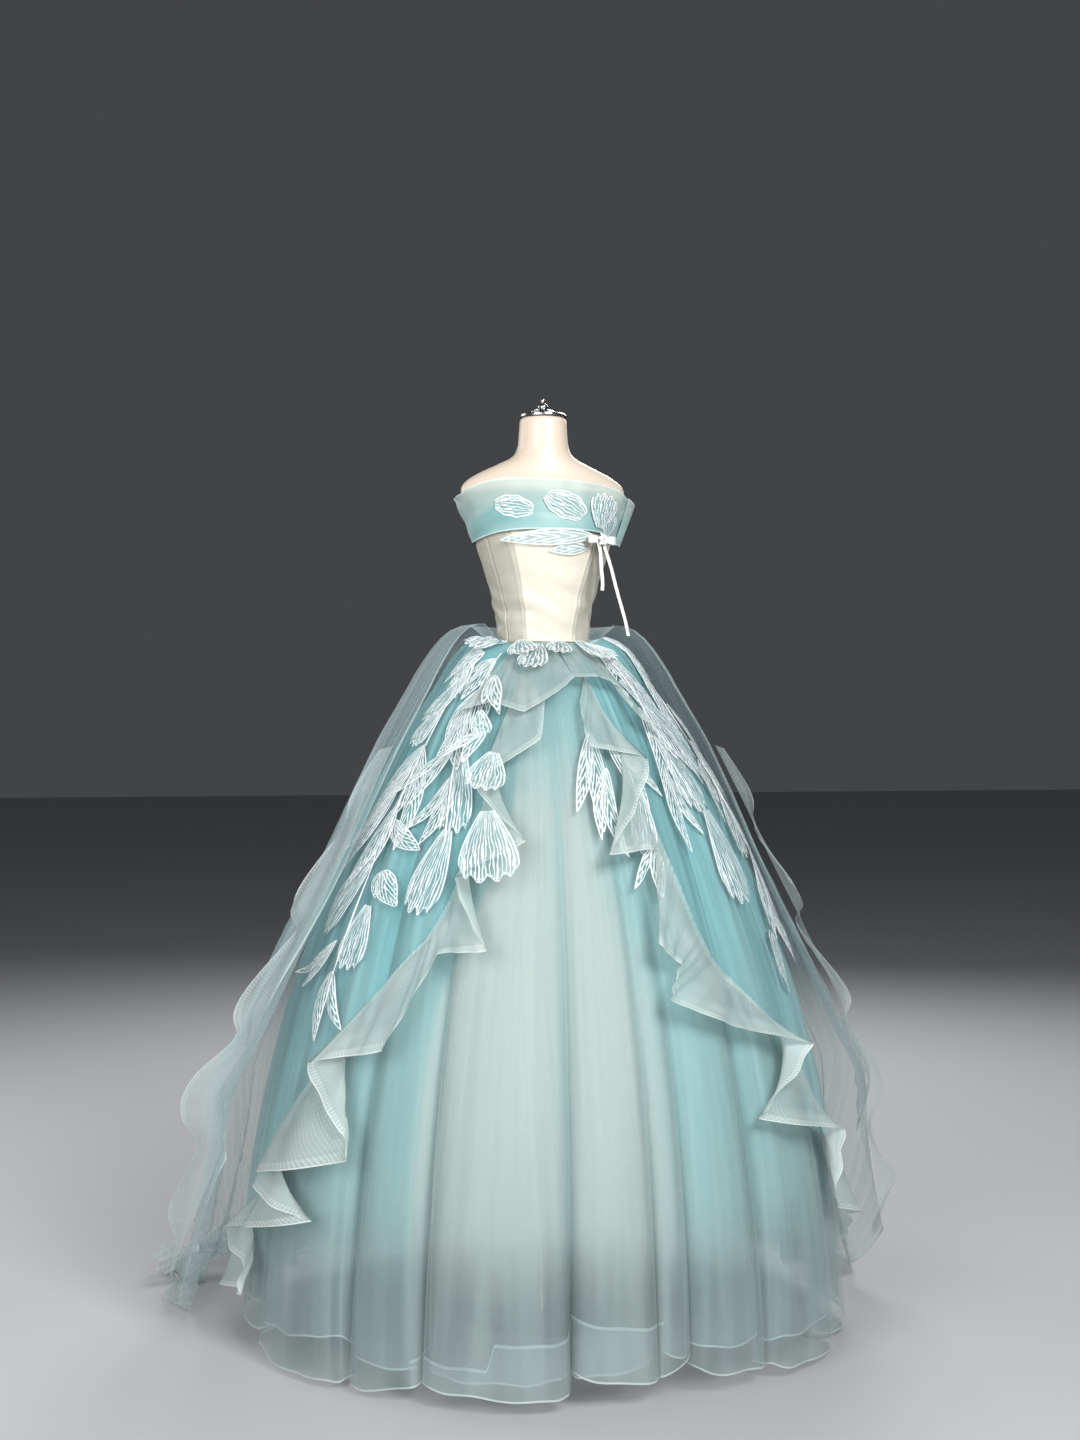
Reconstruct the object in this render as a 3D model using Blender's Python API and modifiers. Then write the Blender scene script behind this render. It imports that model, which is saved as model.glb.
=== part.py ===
"""A strapless ball gown on a limbless dress form, in metres.

+Z is up, the gown's front faces -Y and the wearer's left is +X. The origin is the centre of the stand's
underside, on the floor. Angles run round the body from the centre front towards the wearer's left.
Skirt depth t runs from 0 at the waist to 1 at the floor.
"""
import bisect
import math

import bmesh
import bpy
from mathutils import Vector

# ---- driving dimensions --------------------------------------------------------------------------------
WAIST_Z = 1.455
HEM_Z = 0.003
WAIST_HALF_WIDTH = 0.1060
WAIST_DEPTH_RATIO = 0.86
HEM_RADIUS = 0.605
SKIRT_ROUNDNESS = 2.2
PUFF = 0.060
PUFF_DEPTH = 0.035
ROUND_BY = 0.30

CLOTH = 0.0012
SATIN = 0.0015
SEAM = 0.0003
FORM_CLEARANCE = 0.003
LAYER_GAP = 0.013
WAIST_LAYER_GAP = 0.0035
TROUGH = 0.028
BRIDGED = 0.45
SHARED_ROWS = (0.0, 0.035, 0.085, 0.16, 0.27, 0.42, 0.60, 0.80, 1.0)
FLOUNCE_LIFT = 0.027
FLOUNCE_WAIST_LIFT = 0.019
SWAG_LIFT = 0.017
TRAIN_LIFT = 0.026

NECK_TOP_Z = 1.945
FORM_BOTTOM_Z = 1.13
POLE_RADIUS = 0.0125
BASE_RADIUS = 0.17
BASE_HEIGHT = 0.018
BODICE_BOTTOM_Z = 1.4605

# Half sections of the dress form: half width, and depth before and behind the axis.
FORM_SECTIONS = [
    dict(z=1.130, side=0.132, front=0.088, back=0.106),
    dict(z=1.240, side=0.138, front=0.092, back=0.112),
    dict(z=1.340, side=0.120, front=0.084, back=0.094),
    dict(z=1.410, side=0.103, front=0.076, back=0.078),
    dict(z=1.460, side=0.0972, front=0.0735, back=0.0715),
    dict(z=1.500, side=0.0985, front=0.078, back=0.0725),
    dict(z=1.560, side=0.1095, front=0.092, back=0.076),
    dict(z=1.610, side=0.1245, front=0.108, back=0.081),
    dict(z=1.660, side=0.1400, front=0.121, back=0.086),
    dict(z=1.700, side=0.1480, front=0.115, back=0.089),
    dict(z=1.740, side=0.1660, front=0.096, back=0.086),
    dict(z=1.778, side=0.1800, front=0.078, back=0.078),
    dict(z=1.800, side=0.1740, front=0.068, back=0.071),
    dict(z=1.821, side=0.1440, front=0.061, back=0.065),
    dict(z=1.840, side=0.1040, front=0.057, back=0.059),
    dict(z=1.858, side=0.0690, front=0.054, back=0.055),
    dict(z=1.880, side=0.0560, front=0.052, back=0.052),
    dict(z=1.905, side=0.0530, front=0.051, back=0.051),
    dict(z=1.945, side=0.0500, front=0.049, back=0.049),
]

# Bodice panels between seams, whose angles differ at the bust and at the waist.
BODICE_PANELS = [
    dict(name="bodice_centre_front", bust=(-40, 40), waist=(-31, 31), columns=8),
    dict(name="bodice_side_front_left", bust=(40, 66), waist=(31, 58), columns=3),
    dict(name="bodice_side_front_right", bust=(-66, -40), waist=(-58, -31), columns=3),
    dict(name="bodice_side_left", bust=(66, 112), waist=(58, 112), columns=4),
    dict(name="bodice_side_right", bust=(-112, -66), waist=(-112, -58), columns=4),
    dict(name="bodice_back_left", bust=(112, 180), waist=(112, 180), columns=5),
    dict(name="bodice_back_right", bust=(-180, -112), waist=(-180, -112), columns=5),
]

# The off-the-shoulder band, at its lower and upper edge.
BAND_LOWER = dict(side=0.1530, front=0.1320, back=0.1000, z_front=1.692, z_side=1.672, z_back=1.668)
BAND_UPPER = dict(side=0.1930, front=0.1180, back=0.1130, z_front=1.800, z_side=1.760, z_back=1.750)
BAND_PANELS = [
    dict(name="bust_band_front", angles=(-92, 92), columns=14),
    dict(name="bust_band_back_left", angles=(92, 180), columns=6),
    dict(name="bust_band_back_right", angles=(-180, -92), columns=6),
]

# The skirt's main folds, in order from the wearer's right side round the front: width in degrees, and
# how far the crest stands out at the hem.
FIRST_FOLD = -102.0
FOLDS = [
    dict(width=22, crest=0.066),
    dict(width=30, crest=0.074),
    dict(width=16, crest=0.054),
    dict(width=27, crest=0.076),
    dict(width=16, crest=0.060),
    dict(width=7, crest=0.036),
    dict(width=17, crest=0.058),
    dict(width=27, crest=0.074),
    dict(width=20, crest=0.066),
    dict(width=18, crest=0.060),
    dict(width=24, crest=0.070),
    dict(width=16, crest=0.054),
    dict(width=22, crest=0.068),
    dict(width=19, crest=0.060),
    dict(width=25, crest=0.072),
    dict(width=15, crest=0.052),
    dict(width=21, crest=0.064),
    dict(width=18, crest=0.058),
]

# Gores are cut from one fold's trough to another's, by the number of the fold each starts and ends at.
TULLE_GORES = [
    dict(name="tulle_skirt_side_right", folds=(0, 3)),
    dict(name="tulle_skirt_front", folds=(3, 7)),
    dict(name="tulle_skirt_side_left", folds=(7, 10)),
    dict(name="tulle_skirt_back_left", folds=(10, 14)),
    dict(name="tulle_skirt_back_right", folds=(14, 18)),
]
LINING_GORES = [
    dict(name="lining_front", folds=(1, 9)),
    dict(name="lining_back_left", folds=(9, 14)),
    dict(name="lining_back_right", folds=(14, 19)),
]
LINING_ENDS_AT = 0.87

# The overskirt opens over the front: the angle of its edge at each depth, on either side.
EDGE_RIGHT = [
    dict(t=0.000, angle=13),
    dict(t=0.050, angle=23),
    dict(t=0.130, angle=28),
    dict(t=0.280, angle=31),
    dict(t=0.400, angle=38),
    dict(t=0.480, angle=50),
    dict(t=0.580, angle=60),
    dict(t=0.680, angle=70),
    dict(t=0.800, angle=83),
    dict(t=0.880, angle=95),
    dict(t=0.920, angle=112),
    dict(t=0.945, angle=180),
]
EDGE_LEFT = [
    dict(t=0.000, angle=11),
    dict(t=0.050, angle=13.5),
    dict(t=0.130, angle=17),
    dict(t=0.290, angle=22),
    dict(t=0.430, angle=27),
    dict(t=0.500, angle=39),
    dict(t=0.580, angle=47),
    dict(t=0.660, angle=56),
    dict(t=0.740, angle=66),
    dict(t=0.820, angle=80),
    dict(t=0.890, angle=94),
    dict(t=0.920, angle=112),
    dict(t=0.945, angle=180),
]
OVERSKIRT_PANELS = [
    dict(name="overskirt_left", angles=(12.5, 122)),
    dict(name="overskirt_right", angles=(-120, -14.5)),
    dict(name="overskirt_back", angles=(122, 240)),
]

# The sheer train stands off the skirt: at the side, and further at the back, where it spreads on the floor.
TRAIN_SIDE_OFF = [
    dict(t=0.00, off=0.004),
    dict(t=0.10, off=0.026),
    dict(t=0.19, off=0.024),
    dict(t=0.28, off=0.024),
    dict(t=0.36, off=0.036),
    dict(t=0.45, off=0.060),
    dict(t=0.53, off=0.088),
    dict(t=0.59, off=0.116),
    dict(t=0.70, off=0.100),
    dict(t=0.83, off=0.118),
    dict(t=0.93, off=0.155),
    dict(t=1.00, off=0.210),
]
TRAIN_BACK_OFF = [
    dict(t=0.00, off=0.004),
    dict(t=0.10, off=0.050),
    dict(t=0.30, off=0.075),
    dict(t=0.60, off=0.150),
    dict(t=0.80, off=0.235),
    dict(t=0.93, off=0.330),
    dict(t=1.00, off=0.440),
]
TRAIN_EDGE = [
    dict(t=0.00, angle=62),
    dict(t=0.50, angle=74),
    dict(t=0.75, angle=84),
    dict(t=0.90, angle=98),
    dict(t=1.00, angle=122),
]
TRAIN_ON_FLOOR_FROM = 0.92
TRAIN_ROWS = (0.0, 0.05, 0.13, 0.32, 0.55, 0.78, 0.92, 1.0)
TRAIN_PANELS = [
    dict(name="train_side_left", span=(0.0, 0.30), columns=8),
    dict(name="train_back", span=(0.30, 0.70), columns=12),
    dict(name="train_side_right", span=(0.70, 1.0), columns=8),
]

# Cascading flounces, one row for each fold's edge: where it is sewn to the overskirt's edge, where its free
# hem hangs (angles count away from the centre front), and how far the hem stands off.
FLOUNCE_RIGHT = [
    dict(sewn=0.045, angle=10, t=0.085, lift=0.010),
    dict(sewn=0.065, angle=12, t=0.140, lift=0.026),
    dict(sewn=0.110, angle=19, t=0.180, lift=0.014),
    dict(sewn=0.190, angle=16.5, t=0.275, lift=0.050),
    dict(sewn=0.270, angle=27, t=0.328, lift=0.020),
    dict(sewn=0.310, angle=23, t=0.415, lift=0.050),
    dict(sewn=0.370, angle=34, t=0.445, lift=0.022),
    dict(sewn=0.410, angle=42, t=0.548, lift=0.048),
    dict(sewn=0.480, angle=47, t=0.570, lift=0.022),
    dict(sewn=0.560, angle=47, t=0.690, lift=0.050),
    dict(sewn=0.640, angle=56, t=0.715, lift=0.024),
    dict(sewn=0.700, angle=55, t=0.790, lift=0.050),
    dict(sewn=0.780, angle=74, t=0.832, lift=0.024),
    dict(sewn=0.830, angle=73, t=0.905, lift=0.042),
    dict(sewn=0.875, angle=97, t=0.930, lift=0.022),
]
FLOUNCE_LEFT = [
    dict(sewn=0.045, angle=5, t=0.088, lift=0.010),
    dict(sewn=0.067, angle=4, t=0.149, lift=0.026),
    dict(sewn=0.110, angle=9, t=0.165, lift=0.014),
    dict(sewn=0.170, angle=3.5, t=0.293, lift=0.050),
    dict(sewn=0.230, angle=17, t=0.300, lift=0.022),
    dict(sewn=0.295, angle=12.5, t=0.409, lift=0.048),
    dict(sewn=0.400, angle=17.5, t=0.442, lift=0.024),
    dict(sewn=0.440, angle=14, t=0.482, lift=0.045),
    dict(sewn=0.480, angle=28, t=0.540, lift=0.026),
    dict(sewn=0.520, angle=37, t=0.570, lift=0.048),
    dict(sewn=0.580, angle=33, t=0.652, lift=0.024),
    dict(sewn=0.650, angle=53, t=0.705, lift=0.048),
    dict(sewn=0.720, angle=59, t=0.800, lift=0.024),
    dict(sewn=0.800, angle=82, t=0.860, lift=0.042),
    dict(sewn=0.870, angle=92, t=0.930, lift=0.022),
]
# The short upper swags, sewn into the waist on either side of the centre front.
SWAG_RIGHT = [
    dict(sewn=(1, -0.001), angle=1, t=0.072, lift=0.038),
    dict(sewn=(12, 0.000), angle=13, t=0.098, lift=0.056),
    dict(sewn=(23, 0.004), angle=27, t=0.128, lift=0.036),
    dict(sewn=(31, 0.010), angle=38, t=0.110, lift=0.052),
    dict(sewn=(37, 0.018), angle=43, t=0.150, lift=0.036),
]
SWAG_LEFT = [
    dict(sewn=(1, -0.001), angle=-0.5, t=0.058, lift=0.036),
    dict(sewn=(11, 0.000), angle=8, t=0.085, lift=0.056),
    dict(sewn=(20, 0.004), angle=18, t=0.140, lift=0.036),
    dict(sewn=(26, 0.012), angle=27, t=0.118, lift=0.054),
    dict(sewn=(31, 0.024), angle=37, t=0.165, lift=0.036),
]
FLOUNCE_STEPS = 3
TRAIN_FLOUNCES = [
    dict(name="train_flounce_left", side=1, start=0.14, end=0.86, width=0.10, flutes=5.0),
    dict(name="train_flounce_right", side=-1, start=0.14, end=0.86, width=0.10, flutes=5.0),
]

# Embroidered branches: a long lace panel from one place on the overskirt to another.
BRANCHES = [
    dict(name="branch_outer_right", start=(-60, 0.020), end=(-66, 0.500), half_width=0.044, lift=0.014),
    dict(name="branch_middle_right", start=(-44, 0.040), end=(-43, 0.375), half_width=0.040, lift=0.011),
    dict(name="branch_inner_right", start=(-32, 0.060), end=(-28, 0.320), half_width=0.030, lift=0.010),
    dict(name="branch_inner_left", start=(20, 0.070), end=(24, 0.300), half_width=0.026, lift=0.010),
    dict(name="branch_middle_left", start=(38, 0.030), end=(45, 0.400), half_width=0.046, lift=0.011),
    dict(name="branch_outer_left", start=(60, 0.020), end=(64, 0.500), half_width=0.042, lift=0.014),
]

# Tulips sewn round the waist, hanging over the gathers.
WAIST_TULIPS = [
    dict(name="waist_tulip_1", angle=-50, t=-0.003, length=0.056, half_width=0.020, lean=-14),
    dict(name="waist_tulip_2", angle=-33, t=-0.004, length=0.050, half_width=0.024, lean=24),
    dict(name="waist_tulip_3", angle=-14, t=0.003, length=0.064, half_width=0.024, lean=-6),
    dict(name="waist_tulip_4", angle=6, t=-0.004, length=0.044, half_width=0.021, lean=-16),
    dict(name="waist_tulip_5", angle=26, t=-0.003, length=0.056, half_width=0.026, lean=10),
]

# Tulips and leaves on the band: centre angle, share of the band's height, heading from straight down.
BAND_MOTIFS = [
    dict(name="band_tulip_1", angle=-30, height=0.45, length=0.068, half_width=0.023, heading=104, lift=0.0022),
    dict(name="band_tulip_2", angle=8, height=0.48, length=0.078, half_width=0.028, heading=124, lift=0.0022),
    dict(name="band_tulip_3", angle=50, height=0.24, length=0.058, half_width=0.022, heading=176, lift=0.0022),
    dict(name="band_leaf", angle=39, height=0.46, length=0.078, half_width=0.026, heading=184, lift=0.0048),
]
# Leaves that run from the bow across the bust, towards the wearer's right.
BUST_LEAVES = [
    dict(name="bust_leaf_upper", angle=31, z=1.680, length=0.180, half_width=0.0165, drop=0.010, lift=0.0165,
         slope=0.25),
    dict(name="bust_leaf_lower", angle=30, z=1.655, length=0.084, half_width=0.0125, drop=0.008, lift=0.0045,
         slope=0.0),
]

# The bow at the band's lower edge, over the wearer's left bust.
BOW_ANGLE = 35.5
BOW_Z = 1.672
BOW_OUT = 0.0145
KNOT_RADIUS = 0.009
RIBBON_WIDTH = 0.011
BOW_LOOPS = [
    dict(name="bow_loop_left", direction=1, length=0.036, width=0.017),
    dict(name="bow_loop_right", direction=-1, length=0.026, width=0.015),
]
BOW_TAILS = [
    dict(name="bow_tail_long", across=0.084, drop=0.196, start=0.0072),
    dict(name="bow_tail_short", across=0.012, drop=0.102, start=-0.0072),
]

FABRICS = {
    "satin": dict(colour=(0.80, 0.77, 0.69), roughness=0.38, metallic=0.0),
    "band_organza": dict(colour=(0.32, 0.62, 0.66), roughness=0.55, metallic=0.0),
    "tulle": dict(colour=(0.58, 0.82, 0.83), roughness=0.75, metallic=0.0),
    "lining": dict(colour=(0.66, 0.85, 0.83), roughness=0.70, metallic=0.0),
    "overskirt": dict(colour=(0.30, 0.66, 0.74), roughness=0.70, metallic=0.0),
    "train": dict(colour=(0.50, 0.68, 0.70), roughness=0.75, metallic=0.0),
    "flounce": dict(colour=(0.52, 0.74, 0.74), roughness=0.60, metallic=0.0),
    "lace": dict(colour=(0.84, 0.90, 0.90), roughness=0.60, metallic=0.0),
    "ribbon": dict(colour=(0.88, 0.88, 0.88), roughness=0.35, metallic=0.0),
    "form_shell": dict(colour=(0.84, 0.74, 0.66), roughness=0.45, metallic=0.0),
    "chrome": dict(colour=(0.80, 0.80, 0.82), roughness=0.12, metallic=1.0),
    "steel": dict(colour=(0.62, 0.62, 0.64), roughness=0.30, metallic=1.0),
}


# ---- small helpers ---------------------------------------------------------------------------------------
def clear_scene():
    for obj in list(bpy.data.objects):
        bpy.data.objects.remove(obj)


def make_collection():
    collection = bpy.data.collections.new("ball_gown_on_dress_form")
    bpy.context.scene.collection.children.link(collection)
    return collection


def make_materials():
    made = {}
    for name, look in FABRICS.items():
        material = bpy.data.materials.new(name)
        material.use_nodes = True
        shader = material.node_tree.nodes["Principled BSDF"]
        shader.inputs["Base Color"].default_value = (*look["colour"], 1.0)
        shader.inputs["Roughness"].default_value = look["roughness"]
        shader.inputs["Metallic"].default_value = look["metallic"]
        made[name] = material
    return made


def add_object(name, mesh, fabric):
    obj = bpy.data.objects.new(name, mesh)
    GOWN.objects.link(obj)
    mesh.materials.append(MATERIALS[fabric])
    return obj


def mesh_from(bm, name):
    bmesh.ops.recalc_face_normals(bm, faces=bm.faces[:])
    mesh = bpy.data.meshes.new(name)
    bm.to_mesh(mesh)
    bm.free()
    return mesh


def lerp(a, b, share):
    return a + (b - a) * share


def smoothstep(x):
    x = min(1.0, max(0.0, x))
    return x * x * (3 - 2 * x)


def table_value(rows, key, at, column):
    """A column's value between the rows of a table, at a place along its key column."""
    keys = [row[key] for row in rows]
    i = min(max(bisect.bisect_right(keys, at) - 1, 0), len(rows) - 2)
    share = min(1.0, max(0.0, (at - keys[i]) / (keys[i + 1] - keys[i])))
    return lerp(rows[i][column], rows[i + 1][column], share)


def smooth_table_value(rows, key, at, column):
    """As table_value, on a smooth curve through the rows."""
    keys = [row[key] for row in rows]
    values = [row[column] for row in rows]
    i = min(max(bisect.bisect_right(keys, at) - 1, 0), len(rows) - 2)
    span = keys[i + 1] - keys[i]
    share = min(1.0, max(0.0, (at - keys[i]) / span))

    def slope(k):
        low, high = max(k - 1, 0), min(k + 1, len(rows) - 1)
        return (values[high] - values[low]) / (keys[high] - keys[low])

    s2, s3 = share * share, share ** 3
    return (
        (2 * s3 - 3 * s2 + 1) * values[i]
        + (s3 - 2 * s2 + share) * span * slope(i)
        + (3 * s2 - 2 * s3) * values[i + 1]
        + (s3 - s2) * span * slope(i + 1)
    )


# ---- the forms that cloth follows --------------------------------------------------------------------
def oval_point(angle, side, front, back, z):
    a = math.radians(angle)
    depth = front if math.cos(a) > 0 else back
    return Vector((side * math.sin(a), -depth * math.cos(a), z))


def body_point(angle, z, out):
    """A place on the dress form's surface at height z, moved out by out."""
    side, front, back = (smooth_table_value(FORM_SECTIONS, "z", z, k) for k in ("side", "front", "back"))
    return oval_point(angle, side + out, front + out, back + out, z)


def band_point(angle, height, out):
    """A place on the band: height 0 is its lower edge and 1 its upper edge."""
    a = math.radians(angle)
    facing = math.cos(a)

    def edge_z(edge):
        end = edge["z_front"] if facing > 0 else edge["z_back"]
        return lerp(edge["z_side"], end, smoothstep(abs(facing)))

    side, front, back = (lerp(BAND_LOWER[k], BAND_UPPER[k], height) for k in ("side", "front", "back"))
    z = lerp(edge_z(BAND_LOWER), edge_z(BAND_UPPER), height)
    return oval_point(angle, side + out, front + out, back + out, z)


def fold_starts():
    starts = [FIRST_FOLD]
    for fold in FOLDS:
        starts.append(starts[-1] + fold["width"])
    return starts


def fold_at(angle):
    """The fold at an angle, and how far across it the angle is, from 0 to 1."""
    turned = (angle - FIRST_FOLD) % 360.0 + FIRST_FOLD
    k = min(bisect.bisect_right(FOLD_STARTS, turned) - 1, len(FOLDS) - 1)
    return FOLDS[k], (turned - FOLD_STARTS[k]) / FOLDS[k]["width"]


def fold_depth(angle, t, bridged=0.0):
    """How far the folds carry the skirt out of its plain round, from nothing at the waist. Cloth that only
    hangs over the folds bridges the lower share of each trough."""
    fold, across = fold_at(angle)
    ridge = max(bridged, 1 - 2 * abs(across - 0.5))
    return max(t, 0.0) ** 1.2 * (fold["crest"] * ridge - TROUGH)


def plain_radius(t):
    """The skirt's radius at a depth: it puffs out from the waist seam, then rounds over to the floor."""
    puff = PUFF * (1 - math.exp(-max(t, 0.0) / PUFF_DEPTH))
    spread = HEM_RADIUS - WAIST_HALF_WIDTH - PUFF
    return WAIST_HALF_WIDTH + puff + spread * (1 - (1 - t) ** SKIRT_ROUNDNESS)


def slant(t):
    """Metres down the skirt's slope for each unit of depth."""
    flare = PUFF / PUFF_DEPTH * math.exp(-max(t, 0.0) / PUFF_DEPTH)
    flare += (HEM_RADIUS - WAIST_HALF_WIDTH - PUFF) * SKIRT_ROUNDNESS * max(0.0, 1 - t) ** (SKIRT_ROUNDNESS - 1)
    return math.hypot(WAIST_Z - HEM_Z, flare)


def skirt_point(angle, t, out, bridged=0.0):
    """A place on the tulle skirt, moved out by out."""
    r = plain_radius(t) + fold_depth(angle, t, bridged) + out
    depth_ratio = lerp(WAIST_DEPTH_RATIO, 1.0, smoothstep(t / ROUND_BY))
    a = math.radians(angle)
    return Vector((r * math.sin(a), -r * depth_ratio * math.cos(a), lerp(WAIST_Z, HEM_Z, t)))


def layer_gap(t):
    """The room between two layers, which close up towards the waist seam."""
    return lerp(WAIST_LAYER_GAP, LAYER_GAP, min(1.0, max(0.0, t / 0.08)))


def train_edge(t):
    return smooth_table_value(TRAIN_EDGE, "t", t, "angle")


def train_point(angle, t, out):
    """A place on the sheer train. Its foot lies along the floor."""
    behind = abs((angle + 180) % 360 - 180)
    back_share = smoothstep((behind - 95) / 70)
    side_off = smooth_table_value(TRAIN_SIDE_OFF, "t", t, "off")
    back_off = smooth_table_value(TRAIN_BACK_OFF, "t", t, "off")
    off = 2 * layer_gap(t) + TRAIN_LIFT * min(1.0, t / 0.06) + lerp(side_off, back_off, back_share) - 0.03 * t
    place = skirt_point(angle, t, off + out)
    place.z = lerp(WAIST_Z, HEM_Z + 0.0015 + max(out, 0), min(1.0, t / TRAIN_ON_FLOOR_FROM))
    return place


def skirt_spot(angle, t, across, down, out):
    """A place on the skirt, stepped across it and down it in metres from an angle and depth."""
    new_t = t + down / slant(t + 0.5 * down / slant(t + 0.02))
    return skirt_point(angle + math.degrees(across / max(plain_radius(new_t), 0.09)), new_t, out)


# ---- builders --------------------------------------------------------------------------------------------
def cloth_wall(name, columns, rows, place, thickness, fabric):
    """A wall of cloth. place(u, v, out) gives its surface for u and v from 0 to 1, moved out by out."""
    bm = bmesh.new()
    bmesh.ops.create_grid(bm, x_segments=columns, y_segments=rows, size=0.5)
    raised = bmesh.ops.extrude_face_region(bm, geom=bm.faces[:])["geom"]
    outer = {item for item in raised if isinstance(item, bmesh.types.BMVert)}
    for vert in bm.verts:
        u, v = vert.co.x + 0.5, vert.co.y + 0.5
        vert.co = place(u, v, thickness if vert in outer else 0.0)
    return add_object(name, mesh_from(bm, name), fabric)


def ring_body(name, heights, place, segments, fabric):
    """A closed body whose skin is a stack of rings. place(angle, height) gives its surface."""
    bm = bmesh.new()
    ring = bmesh.ops.create_circle(bm, cap_ends=True, segments=segments, radius=1.0)["verts"]
    step = 360.0 / segments
    for vert, k in zip(ring, range(segments)):
        vert.co = place(k * step, heights[0])
    edges = [edge for edge in bm.edges]
    for height in heights[1:]:
        grown = bmesh.ops.extrude_edge_only(bm, edges=edges)["geom"]
        ring = [item for item in grown if isinstance(item, bmesh.types.BMVert)]
        edges = [item for item in grown if isinstance(item, bmesh.types.BMEdge) and item.is_boundary]
        for vert in ring:
            angle = math.degrees(math.atan2(vert.co.x, -vert.co.y))
            k = round(angle / step)
            vert.co = place(k * step, height)
    bmesh.ops.edgeloop_fill(bm, edges=edges)
    mesh = mesh_from(bm, name)
    mesh.shade_smooth()
    mesh.set_sharp_from_angle(angle=math.radians(50))
    return add_object(name, mesh, fabric)


def turned_body(name, profile, fabric, steps=24):
    """A body turned from a profile of radius and height, listed from the top down."""
    mesh = bpy.data.meshes.new(name)
    bm = bmesh.new()
    verts = [bm.verts.new((radius, 0.0, z)) for radius, z in profile]
    for first, second in zip(verts, verts[1:]):
        bm.edges.new((first, second))
    bm.to_mesh(mesh)
    bm.free()
    obj = add_object(name, mesh, fabric)
    screw = obj.modifiers.new("turn", "SCREW")
    screw.steps = steps
    screw.render_steps = steps
    screw.use_merge_vertices = True
    screw.merge_threshold = 0.0001
    return obj


# ---- the dress form and its stand ---------------------------------------------------------------------
def make_form():
    top = NECK_TOP_Z
    heights = [section["z"] for section in FORM_SECTIONS]
    between = [(low + high) / 2 for low, high in zip(heights[9:16], heights[10:17])]
    rings = sorted(heights + between)
    rings = [z for z in rings if z not in (1.24,)]
    ring_body("form_torso", rings, lambda angle, z: body_point(angle, z, 0.0), 36, "form_shell")
    cap_foot = top + SEAM
    turned_body(
        "form_neck_cap",
        [
            (0.0, cap_foot + 0.0440),
            (0.0028, cap_foot + 0.0415),
            (0.0042, cap_foot + 0.0370),
            (0.0036, cap_foot + 0.0320),
            (0.0085, cap_foot + 0.0285),
            (0.0115, cap_foot + 0.0235),
            (0.0095, cap_foot + 0.0185),
            (0.0180, cap_foot + 0.0165),
            (0.0260, cap_foot + 0.0130),
            (0.0300, cap_foot + 0.0100),
            (0.0420, cap_foot + 0.0085),
            (0.0500, cap_foot + 0.0045),
            (0.0505, cap_foot),
            (0.0, cap_foot),
        ],
        "chrome",
    )


def make_stand():
    pole_foot = BASE_HEIGHT + SEAM
    pole_top = FORM_BOTTOM_Z - SEAM
    bpy.ops.mesh.primitive_cylinder_add(
        vertices=20, radius=POLE_RADIUS, depth=pole_top - pole_foot, location=(0, 0, (pole_top + pole_foot) / 2)
    )
    adopt("stand_pole", "steel")
    turned_body(
        "stand_base",
        [
            (0.0, BASE_HEIGHT),
            (0.0300, BASE_HEIGHT),
            (0.0420, BASE_HEIGHT - 0.004),
            (BASE_RADIUS - 0.010, BASE_HEIGHT - 0.008),
            (BASE_RADIUS, BASE_HEIGHT - 0.012),
            (BASE_RADIUS, 0.0),
            (0.0, 0.0),
        ],
        "steel",
        steps=32,
    )


def adopt(name, fabric):
    """Names the primitive that was just added, and moves it into the gown's collection."""
    obj = bpy.context.active_object
    obj.name = name
    obj.data.name = name
    for collection in list(obj.users_collection):
        collection.objects.unlink(obj)
    GOWN.objects.link(obj)
    obj.data.materials.append(MATERIALS[fabric])
    obj.data.shade_smooth()
    obj.data.set_sharp_from_angle(angle=math.radians(40))
    return obj


# ---- bodice and band -----------------------------------------------------------------------------------
def bodice_top_z(angle):
    facing = math.cos(math.radians(angle))
    return lerp(1.712, 1.728 if facing > 0 else 1.700, smoothstep(abs(facing)))


def make_bodice():
    for panel in BODICE_PANELS:

        def place(u, v, out, panel=panel):
            z_share = v
            low = lerp(panel["waist"][0], panel["bust"][0], z_share)
            high = lerp(panel["waist"][1], panel["bust"][1], z_share)
            half_seam = math.degrees(SEAM / 2 / 0.09)
            angle = lerp(low + half_seam, high - half_seam, u)
            z = lerp(BODICE_BOTTOM_Z, bodice_top_z(angle), v)
            return body_point(angle, z, FORM_CLEARANCE + out)

        cloth_wall(panel["name"], panel["columns"], 7, place, SATIN, "satin")


def make_band():
    for panel in BAND_PANELS:

        def place(u, v, out, panel=panel):
            half_seam = math.degrees(SEAM / 2 / 0.09)
            angle = lerp(panel["angles"][0] + half_seam, panel["angles"][1] - half_seam, u)
            return band_point(angle, v, out)

        cloth_wall(panel["name"], panel["columns"], 3, place, CLOTH, "band_organza")


# ---- skirts ----------------------------------------------------------------------------------------------
def fold_columns(first, last, per_fold):
    """Angles at equal steps across each fold, so that every crest and trough is a column."""
    angles = []
    for k in range(first, last):
        start = FOLD_STARTS[k % len(FOLDS)] + 360.0 * (k // len(FOLDS))
        width = FOLDS[k % len(FOLDS)]["width"]
        angles += [start + width * j / per_fold for j in range(per_fold)]
    angles.append(FOLD_STARTS[last % len(FOLDS)] + 360.0 * (last // len(FOLDS)))
    return angles


def pull_in_seams(angles, radius):
    """Opens half a seam gap at each end of a gore."""
    half_seam = math.degrees(SEAM / radius)
    return [angles[0] + half_seam, *angles[1:-1], angles[-1] - half_seam]


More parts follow.
